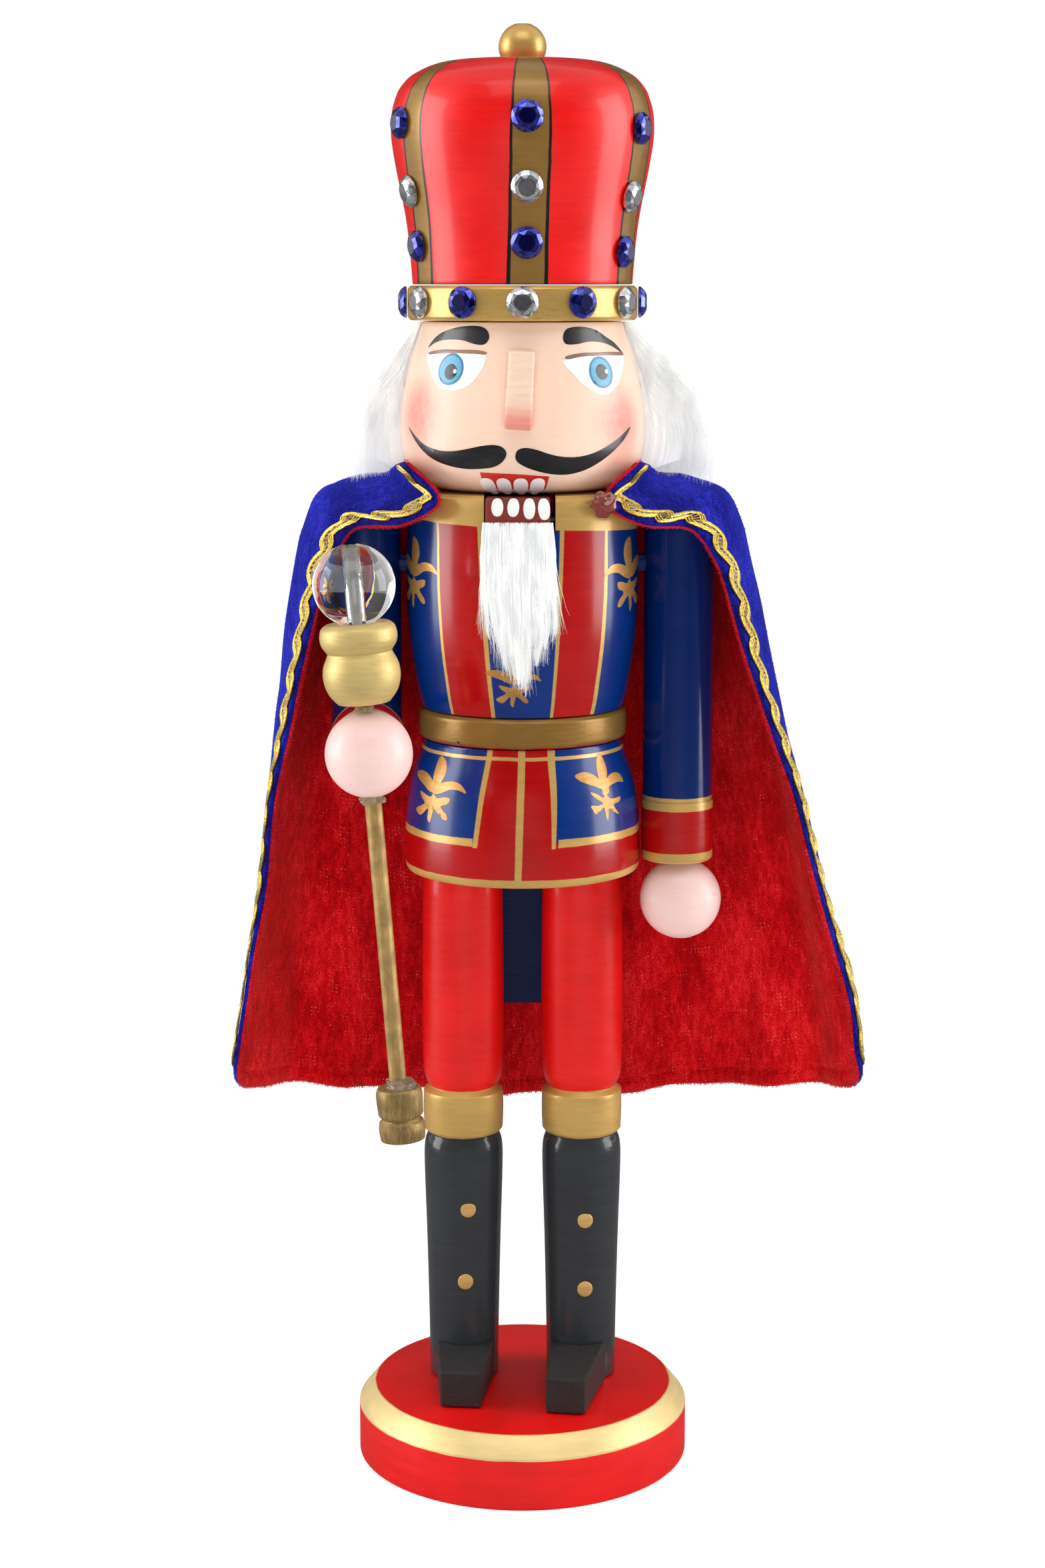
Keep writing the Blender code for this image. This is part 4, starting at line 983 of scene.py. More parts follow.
def add_film(bm, outline, side, lift, smooth=True, width=0.03, cell=0.0012):
    """Add one shape, given in (degrees, mm), to a film of paint over a turned side."""
    points = drawn_round(outline) if smooth else [Vector(point) for point in outline]
    shape = bmesh.new()
    shape.faces.new([shape.verts.new((math.radians(degrees) * width, height * MM, 0))
                     for degrees, height in points])
    for axis in (0, 1):
        normal = Vector((1 - axis, axis, 0))
        low = min(vert.co[axis] for vert in shape.verts)
        high = max(vert.co[axis] for vert in shape.verts)
        for step in range(1, int((high - low) / cell) + 1):
            bmesh.ops.bisect_plane(shape, geom=shape.verts[:] + shape.edges[:] + shape.faces[:],
                                   plane_co=normal * (low + step * cell), plane_no=normal)
    bmesh.ops.triangulate(shape, faces=shape.faces[:])
    rim = {vert for edge in shape.edges if edge.is_boundary for vert in edge.verts}
    for vert in shape.verts:
        angle, height = vert.co.x / width, vert.co.y
        radius = radius_at(side, height) + lift - (0.00004 if vert in rim else 0.0)
        vert.co = (radius * math.sin(angle), -radius * math.cos(angle), height)
    film = bpy.data.meshes.new("film")
    shape.to_mesh(film)
    shape.free()
    bm.from_mesh(film)
    bpy.data.meshes.remove(film)


def film_piece(name, outlines, side, lift, material, **settings):
    """A piece made of several films of one paint."""
    bm = bmesh.new()
    for outline in outlines:
        add_film(bm, outline, side, lift, **settings)
    piece = finish_piece(name, bm, material, sharp=80, close=False)
    print(f"{name}: {len(outlines)} shapes, {len(piece.data.polygons)} faces")
    return piece


def oval(degrees, height, half_degrees, half_height, points=16, squareness=1.0, lean=0.0):
    """An oval outline; a squareness above 1 fills its corners."""
    outline = []
    for step in range(points):
        angle = 2 * math.pi * step / points
        across = math.copysign(abs(math.cos(angle)) ** (1 / squareness), math.cos(angle))
        up = math.copysign(abs(math.sin(angle)) ** (1 / squareness), math.sin(angle))
        outline.append((degrees + half_degrees * across + lean * up, height + half_height * up))
    return outline

# %% Thick brush paints for the details
def brush_paint(name, colour, second, rough=0.3, scale=500.0, metallic=0.0, depth=0.00004):
    """A detail paint with slight streaks between two near colours."""
    material, tree, shader = new_finish(name, Coat_Weight=0.3, Coat_Roughness=0.15, Metallic=metallic)
    marks = use(tree, paint_group, Rings=scale * 2, Pits=scale)
    put(tree, shader.inputs["Base Color"], mix(tree, ramp(tree, marks["Tone"], 0.3, 0.7), colour, second))
    put(tree, shader.inputs["Roughness"], ramp(tree, marks["Tone"], 0.3, 0.7, rough, rough + 0.12))
    relief(tree, shader, marks["Relief"], depth)
    return material


black_brush = brush_paint("black detail", swatch(20, 20, 22), swatch(36, 36, 40))
white_brush = brush_paint("white detail", swatch(250, 250, 252), swatch(238, 238, 242))
tooth_brush = brush_paint("tooth white", swatch(252, 251, 248), swatch(244, 241, 236))
iris_brush = brush_paint("iris blue", swatch(64, 146, 184), swatch(96, 176, 206))
rim_brush = brush_paint("iris rim", swatch(44, 112, 150), swatch(58, 128, 164))
lid_brush = brush_paint("lid brown", swatch(122, 88, 72), swatch(158, 122, 98))
mouth_brush = brush_paint("mouth red", swatch(196, 38, 32), swatch(214, 56, 44))
gold_brush = brush_paint("lily gold", swatch(214, 164, 92), swatch(188, 136, 66), 0.36, metallic=0.55)

# %% Eyes
LEFT_WHITE = [(-57.7, 297.9), (-52.3, 298.4), (-35.7, 298.6), (-20.9, 298.4), (-18.3, 298), (-20.1, 294.6),
              (-25.4, 291.2), (-32.6, 289.6), (-39.5, 289.7), (-46, 291.3), (-52.1, 294.3)]
RIGHT_WHITE = [(20.4, 296.6), (25.3, 297.5), (41, 298.1), (60.2, 298.1), (63.7, 297.4), (58.7, 294.3),
               (52.3, 290.9), (44.6, 288.6), (38.7, 288.7), (31.1, 290.6), (25, 293.7)]
film_piece("eye_whites", [LEFT_WHITE, RIGHT_WHITE], HEAD_SIDE, 0.00009, white_brush)
film_piece("iris_rims", [oval(-37.7, 294.7, 7.8, 3.95), oval(41.8, 293.9, 7.8, 3.95)], HEAD_SIDE, 0.00016,
           rim_brush)
film_piece("irises", [oval(-37.7, 294.7, 6.7, 3.4), oval(41.8, 293.9, 6.7, 3.4)], HEAD_SIDE, 0.00022,
           iris_brush)
film_piece("pupils", [oval(-37.2, 294.1, 3.7, 1.95), oval(41.9, 294.0, 3.8, 1.95)], HEAD_SIDE, 0.00028,
           black_brush)
film_piece("eye_glints", [oval(-34.6, 294.2, 1.0, 0.55, 10), oval(44.9, 294.1, 1.0, 0.55, 10)], HEAD_SIDE,
           0.00034, white_brush)
film_piece("lid_lines", [
    [(-55.5, 298.9), (-45, 299.5), (-35.8, 299.5), (-25, 299.5), (-19.1, 299.1), (-19.1, 298.4),
     (-25, 298.6), (-35.8, 298.7), (-45, 298.6), (-55.5, 298.2)],
    [(22.5, 298.0), (31, 298.7), (41, 298.8), (52, 298.9), (63, 298.6), (63, 297.9), (52, 298.0),
     (41, 298.0), (31, 297.8), (23, 297.2)]], HEAD_SIDE, 0.00014, lid_brush)

# %% Brows and moustache
film_piece("brows", [
    [(-58.8, 299.9), (-55, 302.3), (-47.3, 304.1), (-36, 305.2), (-25, 305.4), (-19.6, 304.4), (-17.9, 302.5),
     (-20.2, 300.9), (-25.5, 300.9), (-34.4, 301.9), (-45.7, 301.9), (-53.7, 301.1)],
    [(64.3, 298.2), (58.5, 300.9), (51.4, 302.6), (43.5, 304.5), (33, 305.2), (25, 304.7), (22, 302.7),
     (23.1, 301), (29.2, 300.9), (38.2, 301.5), (48.1, 301.1), (56.2, 299.9)]],
    HEAD_SIDE, 0.00009, black_brush)
film_piece("moustache", [
    [(-66.3, 279.8), (-59.5, 277.8), (-51.9, 275.7), (-42.4, 274.5), (-34.2, 274.4), (-26.8, 275),
     (-19.8, 275.8), (-13.3, 276.2), (-9, 275.6), (-7.3, 274), (-9.3, 272), (-13.9, 270.6), (-20.9, 270.1),
     (-28.2, 270), (-37.2, 270.6), (-46.8, 272.1), (-55.8, 275)],
    [(-3.3, 273.2), (-2.2, 274.9), (1.4, 275.5), (6.6, 275), (11.9, 274), (18.6, 273.2), (26.8, 273.1),
     (35.1, 274), (43.3, 275.7), (51.1, 277.7), (59.8, 280.1), (55.7, 277.6), (48.1, 274.6), (40.3, 271.9),
     (31.9, 269.7), (22.5, 268.6), (12.9, 268.9), (3.6, 270.2), (-1.8, 271.7)]],
    HEAD_SIDE, 0.00012, black_brush)

# %% Mouth and teeth
film_piece("mouth", [[(-21.1, 263.7), (-21.1, 269.2), (-4, 268.9), (13.4, 268.2), (13.4, 263.7)]], HEAD_SIDE,
           0.00010, mouth_brush, smooth=False)
film_piece("upper_teeth", [oval(degrees, 265.5, 4.0, 2.25, 16, 1.25)
                           for degrees in (-18.9, -10.0, -0.9, 8.1)], HEAD_SIDE, 0.00034, tooth_brush)

JAW_FACE = -0.0314
teeth_bm = bmesh.new()
for x, bottom, lean in ((-6.3, 258.4, 0.02), (-2.3, 258.3, 0.05), (1.7, 257.7, 0.0), (5.4, 257.5, -0.08)):
    middle_z = (263.0 + bottom) / 2
    tooth = bmesh.ops.create_uvsphere(teeth_bm, u_segments=20, v_segments=10, radius=1.0)["verts"]
    shape = (Matrix.Translation((x * MM, JAW_FACE, middle_z * MM)) @ Matrix.Rotation(lean, 4, "Y")
             @ Matrix.Diagonal((0.00150, 0.00022, (263.0 - bottom) / 2 * MM, 1)))
    for vert in tooth:
        vert.co.x = math.copysign(abs(vert.co.x) ** 0.8, vert.co.x)
    bmesh.ops.transform(teeth_bm, matrix=shape, verts=tooth)
finish_piece("lower_teeth", teeth_bm, tooth_brush, body="lever", sharp=80)

# %% Gold lilies on the tunic and the skirt
SKIRT_LILIES = [
    [(-51.2, 195.4), (-46, 194.1), (-44.5, 191.3), (-46.1, 189.2), (-46.8, 186.6), (-51.4, 185.9),
     (-53.2, 189), (-53.6, 191.7), (-53.2, 194.2)],
    [(-73.1, 189.8), (-67.3, 190.7), (-59, 190.4), (-52.1, 188.6), (-49.5, 186.5), (-53.8, 186.2),
     (-61.4, 187.6), (-68.4, 188.6)],
    [(-50, 186), (-47.6, 188.4), (-40.3, 189.6), (-34.5, 189.4), (-30.8, 188.2), (-29.4, 187),
     (-33.8, 187.6), (-39.5, 187.5), (-45.3, 186.3)],
    [(-62.6, 185.7), (-53.2, 184.9), (-50.5, 185.8), (-47.4, 184.9), (-42.5, 185.4), (-38.9, 185.3),
     (-39.7, 183.9), (-44.2, 182.9), (-40.1, 181.1), (-39.3, 179.9), (-42.2, 179.8), (-48.5, 181.9),
     (-50.1, 180.4), (-51.4, 178.3), (-53.6, 179.2), (-53.8, 181.8), (-59.4, 179.7), (-63.4, 180),
     (-64.9, 181.1), (-57.2, 182.9), (-60.7, 184.2)],
    [(47.4, 196.4), (49.9, 195.5), (51.1, 192.3), (48.9, 189.3), (49.1, 186.5), (44.8, 185.9), (44, 187.3),
     (43.2, 190.9), (44.1, 194)],
    [(28.6, 191.6), (34.3, 192.2), (39.9, 191.3), (44, 189.5), (44.7, 187.5), (39.5, 188.4), (34, 189.4),
     (30.1, 190.4)],
    [(46.9, 187.3), (47.9, 189.5), (55.3, 190.9), (62, 190.1), (63.6, 188), (58.1, 188.4), (51.3, 188)],
    [(36.2, 187), (40, 186.4), (44, 185.2), (46.2, 186.2), (49.8, 184.6), (57.7, 184.6), (56.2, 183.4),
     (51.3, 182.9), (54.9, 180.3), (50, 181.4), (47.8, 182.2), (45.9, 179.3), (44.5, 181.5), (43.8, 182.7),
     (38.8, 181.3), (36.7, 182.5), (35.9, 183.6), (40.4, 183.4), (43.6, 183.9), (39.2, 185.3)],
]


def lily(degrees, height, size=1.0, flip=1, stretch=1.0):
    """The same lily drawn again elsewhere: four brush marks round a centre."""
    marks = []
    for mark in SKIRT_LILIES[:4]:
        marks.append([(degrees + flip * size * (x + 50) * 1.05, height + size * stretch * (z - 187.0))
                      for x, z in mark])
    return marks


film_piece("skirt_lilies", SKIRT_LILIES, SKIRT_SIDE, 0.00009, gold_brush)
film_piece("tunic_lilies", lily(64.5, 242.4, 0.98, -1, 1.15) + lily(-66.5, 242.8, 0.98, 1, 1.1)
           + lily(-4.0, 216.4, 0.62, 1, 1.25), TORSO_SIDE, 0.00009, gold_brush)

# %% Gold buttons on the boots
button_bm = bmesh.new()
for x, height in ((-14.7, 68.8), (-15.5, 48.3), (17.0, 65.8), (17.0, 46.2)):
    axis_x = math.copysign(LEG_X, x)
    out = x * MM - axis_x
    radius = 0.0097 + 0.0007 * (height - 36) / 43
    ahead = -math.sqrt(radius ** 2 - out ** 2)
    face = Vector((x * MM, LEG_Y + ahead, height * MM))
    outward = Vector((out, ahead, 0)).normalized()
    drop = bmesh.ops.create_uvsphere(button_bm, u_segments=24, v_segments=12, radius=1.0)["verts"]
    place = (Matrix.Translation(face) @ outward.to_track_quat("Z", "Y").to_matrix().to_4x4()
             @ Matrix.Diagonal((0.0021, 0.0022, 0.0004, 1)))
    bmesh.ops.transform(button_bm, matrix=place, verts=drop)
button_gold = brush_paint("button gold", swatch(226, 186, 116), swatch(206, 160, 88), 0.4, metallic=0.4)
finish_piece("boot_buttons", button_bm, button_gold, sharp=80)

# %% [markdown]
# ## Hair and beard
#
# The wig and the beard are strips of white fleece, glued on. Fleece is thousands of fine fibres that lie
# together in locks, so a smooth lump never looks like it. Each fibre here is a thin curve that tapers to
# its tip. All fibres of a lock share a curve object with a three-sided profile, and become one mesh.
# A soft dull core lies under the wig, so that no wood shows between the fibres.

# %% Fibres from curves
def fibre_mesh(name, paths, radius, sides=3, taper=True):
    """A mesh of thin fibres that follow paths, tapering from root to tip."""
    profile = bpy.data.curves.new("fibre_profile", "CURVE")
    profile.dimensions = "2D"
    ring = profile.splines.new("POLY")
    ring.points.add(sides - 1)
    for corner, point in enumerate(ring.points):
        angle = 2 * math.pi * corner / sides
        point.co = (radius * math.cos(angle), radius * math.sin(angle), 0, 1)
    ring.use_cyclic_u = True
    profile_object = bpy.data.objects.new("fibre_profile", profile)
    scene.collection.objects.link(profile_object)
    curve = bpy.data.curves.new(name, "CURVE")
    curve.dimensions = "3D"
    curve.bevel_mode = "OBJECT"
    curve.bevel_object = profile_object
    for path in paths:
        spline = curve.splines.new("POLY")
        spline.points.add(len(path) - 1)
        spline.points.foreach_set("co", [part for point in path for part in (*point, 1.0)])
        if taper:
            last = len(path) - 1
            spline.points.foreach_set("radius", [1.0 - 0.85 * (step / last) ** 1.5
                                                 for step in range(last + 1)])
    carrier = bpy.data.objects.new(name, curve)
    scene.collection.objects.link(carrier)
    bpy.context.view_layer.update()
    mesh = bpy.data.meshes.new_from_object(carrier.evaluated_get(bpy.context.evaluated_depsgraph_get()))
    bpy.data.objects.remove(carrier)
    bpy.data.objects.remove(profile_object)
    return mesh


def fibre_piece(name, paths, radius, material, body="figure", stands_for=(), slot=None, **shape):
    """Fibres as one piece of the figure."""
    mesh = fibre_mesh(name, paths, radius, **shape)
    mesh.name = name
    mesh.materials.clear()
    mesh.materials.append(material)
    mesh.shade_smooth()
    piece = bpy.data.objects.new(name, mesh)
    scene.collection.objects.link(piece)
    if body:
        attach(piece, body)
    if stands_for:
        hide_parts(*stands_for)
    print(f"{name}: {len(paths)} fibres, {len(mesh.polygons) * 2} triangles")
    return piece

# %% White fleece, with a faint painted glow
fleece, tree, shader = new_finish("white fleece", Specular_IOR_Level=0.35, Sheen_Weight=0.25)
spot = object_spot(tree)
locks = specks(tree, add(tree, "Mapping", {"Vector": spot, "Scale": (1.0, 1.0, 0.25)}).outputs[0], 420.0, 3.0)
shade = mix(tree, ramp(tree, locks, 0.3, 0.62), swatch(238, 240, 241), swatch(255, 255, 254))
put(tree, shader.inputs["Base Color"], shade)
# The fleece glows faintly in its own colour: painted light that brightens the shade between its fibres.
put(tree, shader.inputs["Emission Color"], shade)
shader.inputs["Emission Strength"].default_value = 0.16
put(tree, shader.inputs["Roughness"], ramp(tree, locks, 0.3, 0.7, 0.42, 0.6))

# %% Fibres of the wig
def wig_outside(degrees, height):
    """How far the wig stands out from the head's axis."""
    left = ((0.2585, 0.0500), (0.263, 0.0502), (0.268, 0.0496), (0.277, 0.0496), (0.2826, 0.0475),
            (0.292, 0.0440), (0.300, 0.0400), (0.304, 0.0360), (0.3065, 0.0305))
    right = ((0.2585, 0.0465), (0.263, 0.0460), (0.269, 0.0440), (0.278, 0.0420), (0.2885, 0.0400),
             (0.298, 0.0370), (0.302, 0.0337), (0.3065, 0.0302))
    behind = ((0.2585, 0.0460), (0.269, 0.0450), (0.278, 0.0435), (0.288, 0.0410), (0.298, 0.0370),
              (0.3065, 0.0305))
    def at(profile):
        return radius_at([(radius, z) for z, radius in profile], height)
    turned_back = min(1.0, max(0.0, (abs(degrees) - 90) / 70))
    turned_back = turned_back * turned_back * (3 - 2 * turned_back)
    side = at(left if degrees > 0 else right)
    return side + (at(behind) - side) * turned_back


def wig_paths(low, high, count, seed):
    """Fibres that fall from under the crown between two directions, in locks."""
    dice = random.Random(seed)
    paths = []
    for _ in range(count):
        degrees = dice.uniform(low, high)
        layer = dice.random() ** 0.55
        root = 0.3062 - 0.026 * dice.random() ** 2 * (1 - 0.4 * layer)
        tip = 0.2655 + dice.uniform(-0.0015, 0.004) + 0.006 * (1 - layer) * dice.random()
        lock = Vector((degrees * 0.09, layer * 2.5, seed))
        drift = 5.0 * noise.noise(lock) + dice.uniform(-2, 2)
        flyaway = 0.0016 * dice.random() ** 7 * (1 if dice.random() < 0.5 else -0.6)
        phase = dice.uniform(0, 6.28)
        steps = 7
        path = []
        for step in range(steps + 1):
            t = step / steps
            height = root + (tip - root) * t
            inside = radius_at(HEAD_SIDE, height) + 0.0004
            outside = wig_outside(degrees, height)
            lift = min(1.0, 0.15 + 2.2 * t)
            lump = 0.0011 * noise.noise(Vector((degrees * 0.16, height * 150, layer * 3)))
            radius = max(inside, inside + (outside - inside) * layer * lift + lump * layer + flyaway * t * t)
            angle = math.radians(degrees + drift * t * t
                                 + 1.6 * noise.noise(Vector((degrees * 0.3, height * 220, 4.0)))
                                 + 0.35 * math.sin(phase + 9 * t))
            path.append((radius * math.sin(angle), -radius * math.cos(angle), height))
        paths.append(path)
    return paths


WIG = (("wig_right", -138, -86, 3400, 11), ("wig_left", 86, 138, 3800, 12),
       ("wig_back_right", -182, -132, 2800, 13), ("wig_back_left", 132, 182, 2800, 14))
for index, (name, low, high, count, seed) in enumerate(WIG):
    fibre_piece(name, wig_paths(low, high, count, seed), 0.000075, fleece,
                stands_for=["hair"], slot="white_fleece")

# %% The dull core under the wig
core_bm = bmesh.new()
CORE_SHAPE = ((0.0, 0.3055), (0.30, 0.3050), (0.42, 0.297), (0.48, 0.288), (0.48, 0.279), (0.42, 0.271),
              (0.15, 0.268), (0.0, 0.271), (0.0, 0.290))
core_verts = [core_bm.verts.new((0.01 + 0.01 * share, 0, height)) for share, height in CORE_SHAPE]
core_edges = [core_bm.edges.new((first, second))
              for first, second in zip(core_verts, core_verts[1:] + core_verts[:1])]
spun = bmesh.ops.spin(core_bm, geom=core_verts + core_edges, cent=(0, 0, 0), axis=(0, 0, 1),
                      angle=math.radians(180), steps=60)
for ends in (core_edges, [item for item in spun["geom_last"] if isinstance(item, bmesh.types.BMEdge)]):
    bmesh.ops.contextual_create(core_bm, geom=ends)
for vert in core_bm.verts:
    share = (math.hypot(vert.co.x, vert.co.y) - 0.01) / 0.01
    degrees = 90 + math.degrees(math.atan2(vert.co.y, vert.co.x))
    height = vert.co.z
    inside = radius_at(HEAD_SIDE, height) + 0.0002
    outside = wig_outside(degrees if degrees <= 180 else degrees - 360, height)
    radius = inside + (outside - inside) * share * 1.3
    radius += 0.0006 * noise.noise(Vector((degrees * 0.12, height * 160, 2.0))) * (share > 0)
    angle = math.radians(degrees)
    vert.co = (radius * math.sin(angle), -radius * math.cos(angle), height)
finish_piece("wig_core", core_bm, fleece, stands_for=["hair"], slot="white_fleece", sharp=80)

# %% [markdown]
# The beard is a short strip of the same fleece, glued to the jaw's front. Its fibres hang straight and
# part into pointed locks, so each fibre is drawn towards the middle of its lock as it nears its tip.

# %% Fibres of the beard
JAW_X = -0.0012


def beard_half_width(height):
    """Half the beard's width at a height."""
    return radius_at([(0.0010, 0.2100), (0.0034, 0.2150), (0.0058, 0.2210), (0.0080, 0.2290),
                      (0.0090, 0.2390), (0.0092, 0.2480), (0.0086, 0.2575)], height)


def beard_paths(count, seed):
    """Fibres that hang from the jaw and gather into locks."""
    dice = random.Random(seed)
    locks = [(dice.uniform(-1, 1), dice.uniform(-1.0, 1.0), dice.random()) for _ in range(26)]
    paths = []
    for _ in range(count):
        across = dice.uniform(-1, 1)
        depth = dice.random()
        centre, swing, shortness = min(locks, key=lambda lock: abs(lock[0] - across)
                                       + 0.25 * abs(lock[2] - depth))
        root = 0.2570 - 0.0125 * dice.random() ** 1.6
        tip = 0.2120 + 0.013 * abs(centre) ** 1.4 + 0.006 * shortness + dice.uniform(-0.001, 0.004)
        stray = dice.uniform(-1, 1) ** 7 * 0.0030
        steps = 8
        path = []
        for step in range(steps + 1):
            t = step / steps
            height = root + (tip - root) * t
            gathered = across + (centre - across) * 0.8 * t ** 1.8
            x = JAW_X + gathered * beard_half_width(height) * 1.02 + 0.0012 * t * t
            x += 0.0012 * swing * t ** 2.5 + stray * t ** 2
            x += 0.00035 * noise.noise(Vector((across * 5, height * 260, depth * 4)))
            bulge = math.sin(math.pi * min(1.0, 0.12 + t)) * 0.0042
            y = -0.0318 - bulge * depth * (1 - 0.5 * across * across) - 0.0006 * t
            y -= 0.0005 * noise.noise(Vector((across * 6, height * 200, 9.0)))
            path.append((x, y, height))
        paths.append(path)
    return paths


fibre_piece("beard_locks", beard_paths(3800, 21), 0.000075, fleece, body="beard", stands_for=["beard"],
            slot="white_fleece")

# %% [markdown]
# ## The cape
#
# The cape is one piece of royal blue velvet with a red velvet lining, glued round the neck, so it's one
# continuous sheet here. It starts from hoops that run round the body, from the neck to the hem. A smooth
# curve through the hoops gives a surface, folds are pushed into it that grow towards the hem, and then a
# fine grid is laid on that surface. Cloth simulation isn't used: this velvet is stiff with glue, and its
# shape in rest is known at every height.

# %% The surface of the cape
# Each hoop: heights at its front edges, sides and back, half widths right and left, the front edges' share
# of that width, and how far back its front edges, sides and back lie.
HOOPS = (
    (0.2716, 0.2690, 0.2662, 0.0330, 0.0330, 0.91, -0.0215, 0.0010, 0.0300),
    (0.2624, 0.2660, 0.2650, 0.0362, 0.0362, 0.58, -0.0268, 0.0010, 0.0318),
    (0.2562, 0.2652, 0.2632, 0.0435, 0.0435, 0.69, -0.0262, 0.0010, 0.0335),
    (0.2545, 0.2625, 0.2585, 0.0520, 0.0520, 0.82, -0.0180, 0.0030, 0.0355),
    (0.2470, 0.2545, 0.2525, 0.0563, 0.0566, 0.86, -0.0145, 0.0050, 0.0370),
    (0.2385, 0.2435, 0.2450, 0.0588, 0.0594, 0.88, -0.0135, 0.0060, 0.0380),
    (0.2120, 0.2120, 0.2120, 0.0634, 0.0662, 0.92, -0.0120, 0.0080, 0.0400),
    (0.1850, 0.1850, 0.1850, 0.0664, 0.0727, 0.97, -0.0070, 0.0100, 0.0415),
    (0.1550, 0.1550, 0.1550, 0.0696, 0.0800, 0.99, -0.0015, 0.0130, 0.0430),
    (0.1250, 0.1240, 0.1230, 0.0744, 0.0882, 1.00, 0.0030, 0.0150, 0.0445),
    (0.1050, 0.0975, 0.0870, 0.0780, 0.0912, 1.00, 0.0060, 0.0160, 0.0455),
)
CAPE_COLUMNS, CAPE_ROWS = 230, 124


def smooth_run(points, steps):
    """Points on a smooth curve through the given ones."""
    knots = [Vector(point) for point in points]
    knots = [2 * knots[0] - knots[1], *knots, 2 * knots[-1] - knots[-2]]
    run = []
    for before, start, end, after in zip(knots, knots[1:], knots[2:], knots[3:]):
        for step in range(steps):
            t = step / steps
            run.append(0.5 * (2 * start + (end - before) * t
                              + (2 * before - 5 * start + 4 * end - after) * t * t
                              + (3 * start - before - 3 * end + after) * t ** 3))
    return run + [knots[-2]]


def evenly(points, count):
    """The same run of points again, a given number of them, evenly spaced along it."""
    lengths = [0.0]
    for first, second in zip(points, points[1:]):
        lengths.append(lengths[-1] + (second - first).length)
    spaced = []
    place = 0
    for step in range(count):
        target = lengths[-1] * step / (count - 1)
        while place < len(points) - 2 and lengths[place + 1] < target:
            place += 1
        span = lengths[place + 1] - lengths[place] or 1.0
        spaced.append(points[place].lerp(points[place + 1], (target - lengths[place]) / span))
    return spaced


def hoop_run(hoop):
    """One hoop, from its right front edge round the back to its left one."""
    edge_z, side_z, back_z, right, left, share, edge_y, side_y, back_y = hoop
    flank = [(share, edge_y, edge_z), (1.0, side_y, side_z),
             (0.72, side_y + 0.72 * (back_y - side_y), (side_z + back_z) / 2)]
    points = [(-right * x, y, z) for x, y, z in flank] + [(0.0, back_y, back_z)]
    points += [(left * x, y, z) for x, y, z in reversed(flank)]
    return evenly(smooth_run(points, 10), CAPE_COLUMNS)


def fold(across, down):
    """How far folds push the cloth outwards; across runs from -1 to 1, down from 0 to 1."""
    growth = min(1.0, max(0.0, (down - 0.22) / 0.78)) ** 1.3
    calm = 1 - abs(across) ** 8
    waves = 0.0023 * math.sin(2 * math.pi * (2.75 * across + 0.10 * math.sin(3 * down)) + 0.9)
    waves += 0.0011 * math.sin(2 * math.pi * 5.1 * across + 2.2 + 1.5 * down)
    waves += 0.0016 * noise.noise(Vector((across * 3.2, down * 2.2, 7.0)))
    dimples = 0.0006 * noise.noise(Vector((across * 14, down * 9, 3.0)))
    return growth * waves * calm + dimples * min(1.0, down * 6)


columns = [evenly(smooth_run(column, 8), CAPE_ROWS) for column in zip(*[hoop_run(hoop) for hoop in HOOPS])]
cape_table = []
for column_index, column in enumerate(columns):
    across = 2 * column_index / (CAPE_COLUMNS - 1) - 1
    beside = columns[min(column_index + 1, CAPE_COLUMNS - 1)], columns[max(column_index - 1, 0)]
    pushed = []
    for row_index, point in enumerate(column):
        lower = column[min(row_index + 1, CAPE_ROWS - 1)] - column[max(row_index - 1, 0)]
        outward = lower.cross(beside[0][row_index] - beside[1][row_index]).normalized()
        if outward.dot(point - Vector((0, 0, point.z - 0.01))) < 0:
            outward.negate()
        pushed.append(point + outward * fold(across, row_index / (CAPE_ROWS - 1)))
    cape_table.append(pushed)

EDGE_LENGTH = sum((b - a).length for a, b in zip(cape_table[0], cape_table[0][1:]))
HEM_LENGTH = sum((b[-1] - a[-1]).length for a, b in zip(cape_table, cape_table[1:]))
NECK_LENGTH = sum((b[0] - a[0]).length for a, b in zip(cape_table, cape_table[1:]))
BACK_LENGTH = sum((b - a).length for a, b in zip(cape_table[115], cape_table[115][1:]))
ROW_LENGTHS = [sum((b[row] - a[row]).length for a, b in zip(cape_table, cape_table[1:]))
               for row in range(CAPE_ROWS)]
print("cape: neck", round(NECK_LENGTH, 4), "hem", round(HEM_LENGTH, 4), "front edge", round(EDGE_LENGTH, 4),
      "back", round(BACK_LENGTH, 4))


def cape_at(across, down):
    """The middle of the cloth and its outward direction; both numbers run from 0 to 1."""
    x = min(max(across, 0.0), 1.0) * (CAPE_COLUMNS - 1)
    y = min(max(down, 0.0), 1.0) * (CAPE_ROWS - 1)
    i, j = min(int(x), CAPE_COLUMNS - 2), min(int(y), CAPE_ROWS - 2)
    u, v = x - i, y - j
    near, far = cape_table[i], cape_table[i + 1]
    top, bottom = near[j].lerp(far[j], u), near[j + 1].lerp(far[j + 1], u)
    point = top.lerp(bottom, v)
    outward = (bottom - top).cross(far[j].lerp(far[j + 1], v) - near[j].lerp(near[j + 1], v))
    outward.normalize()
    return point, outward if outward.dot(point - Vector((0, 0.01, point.z))) > 0 else -outward


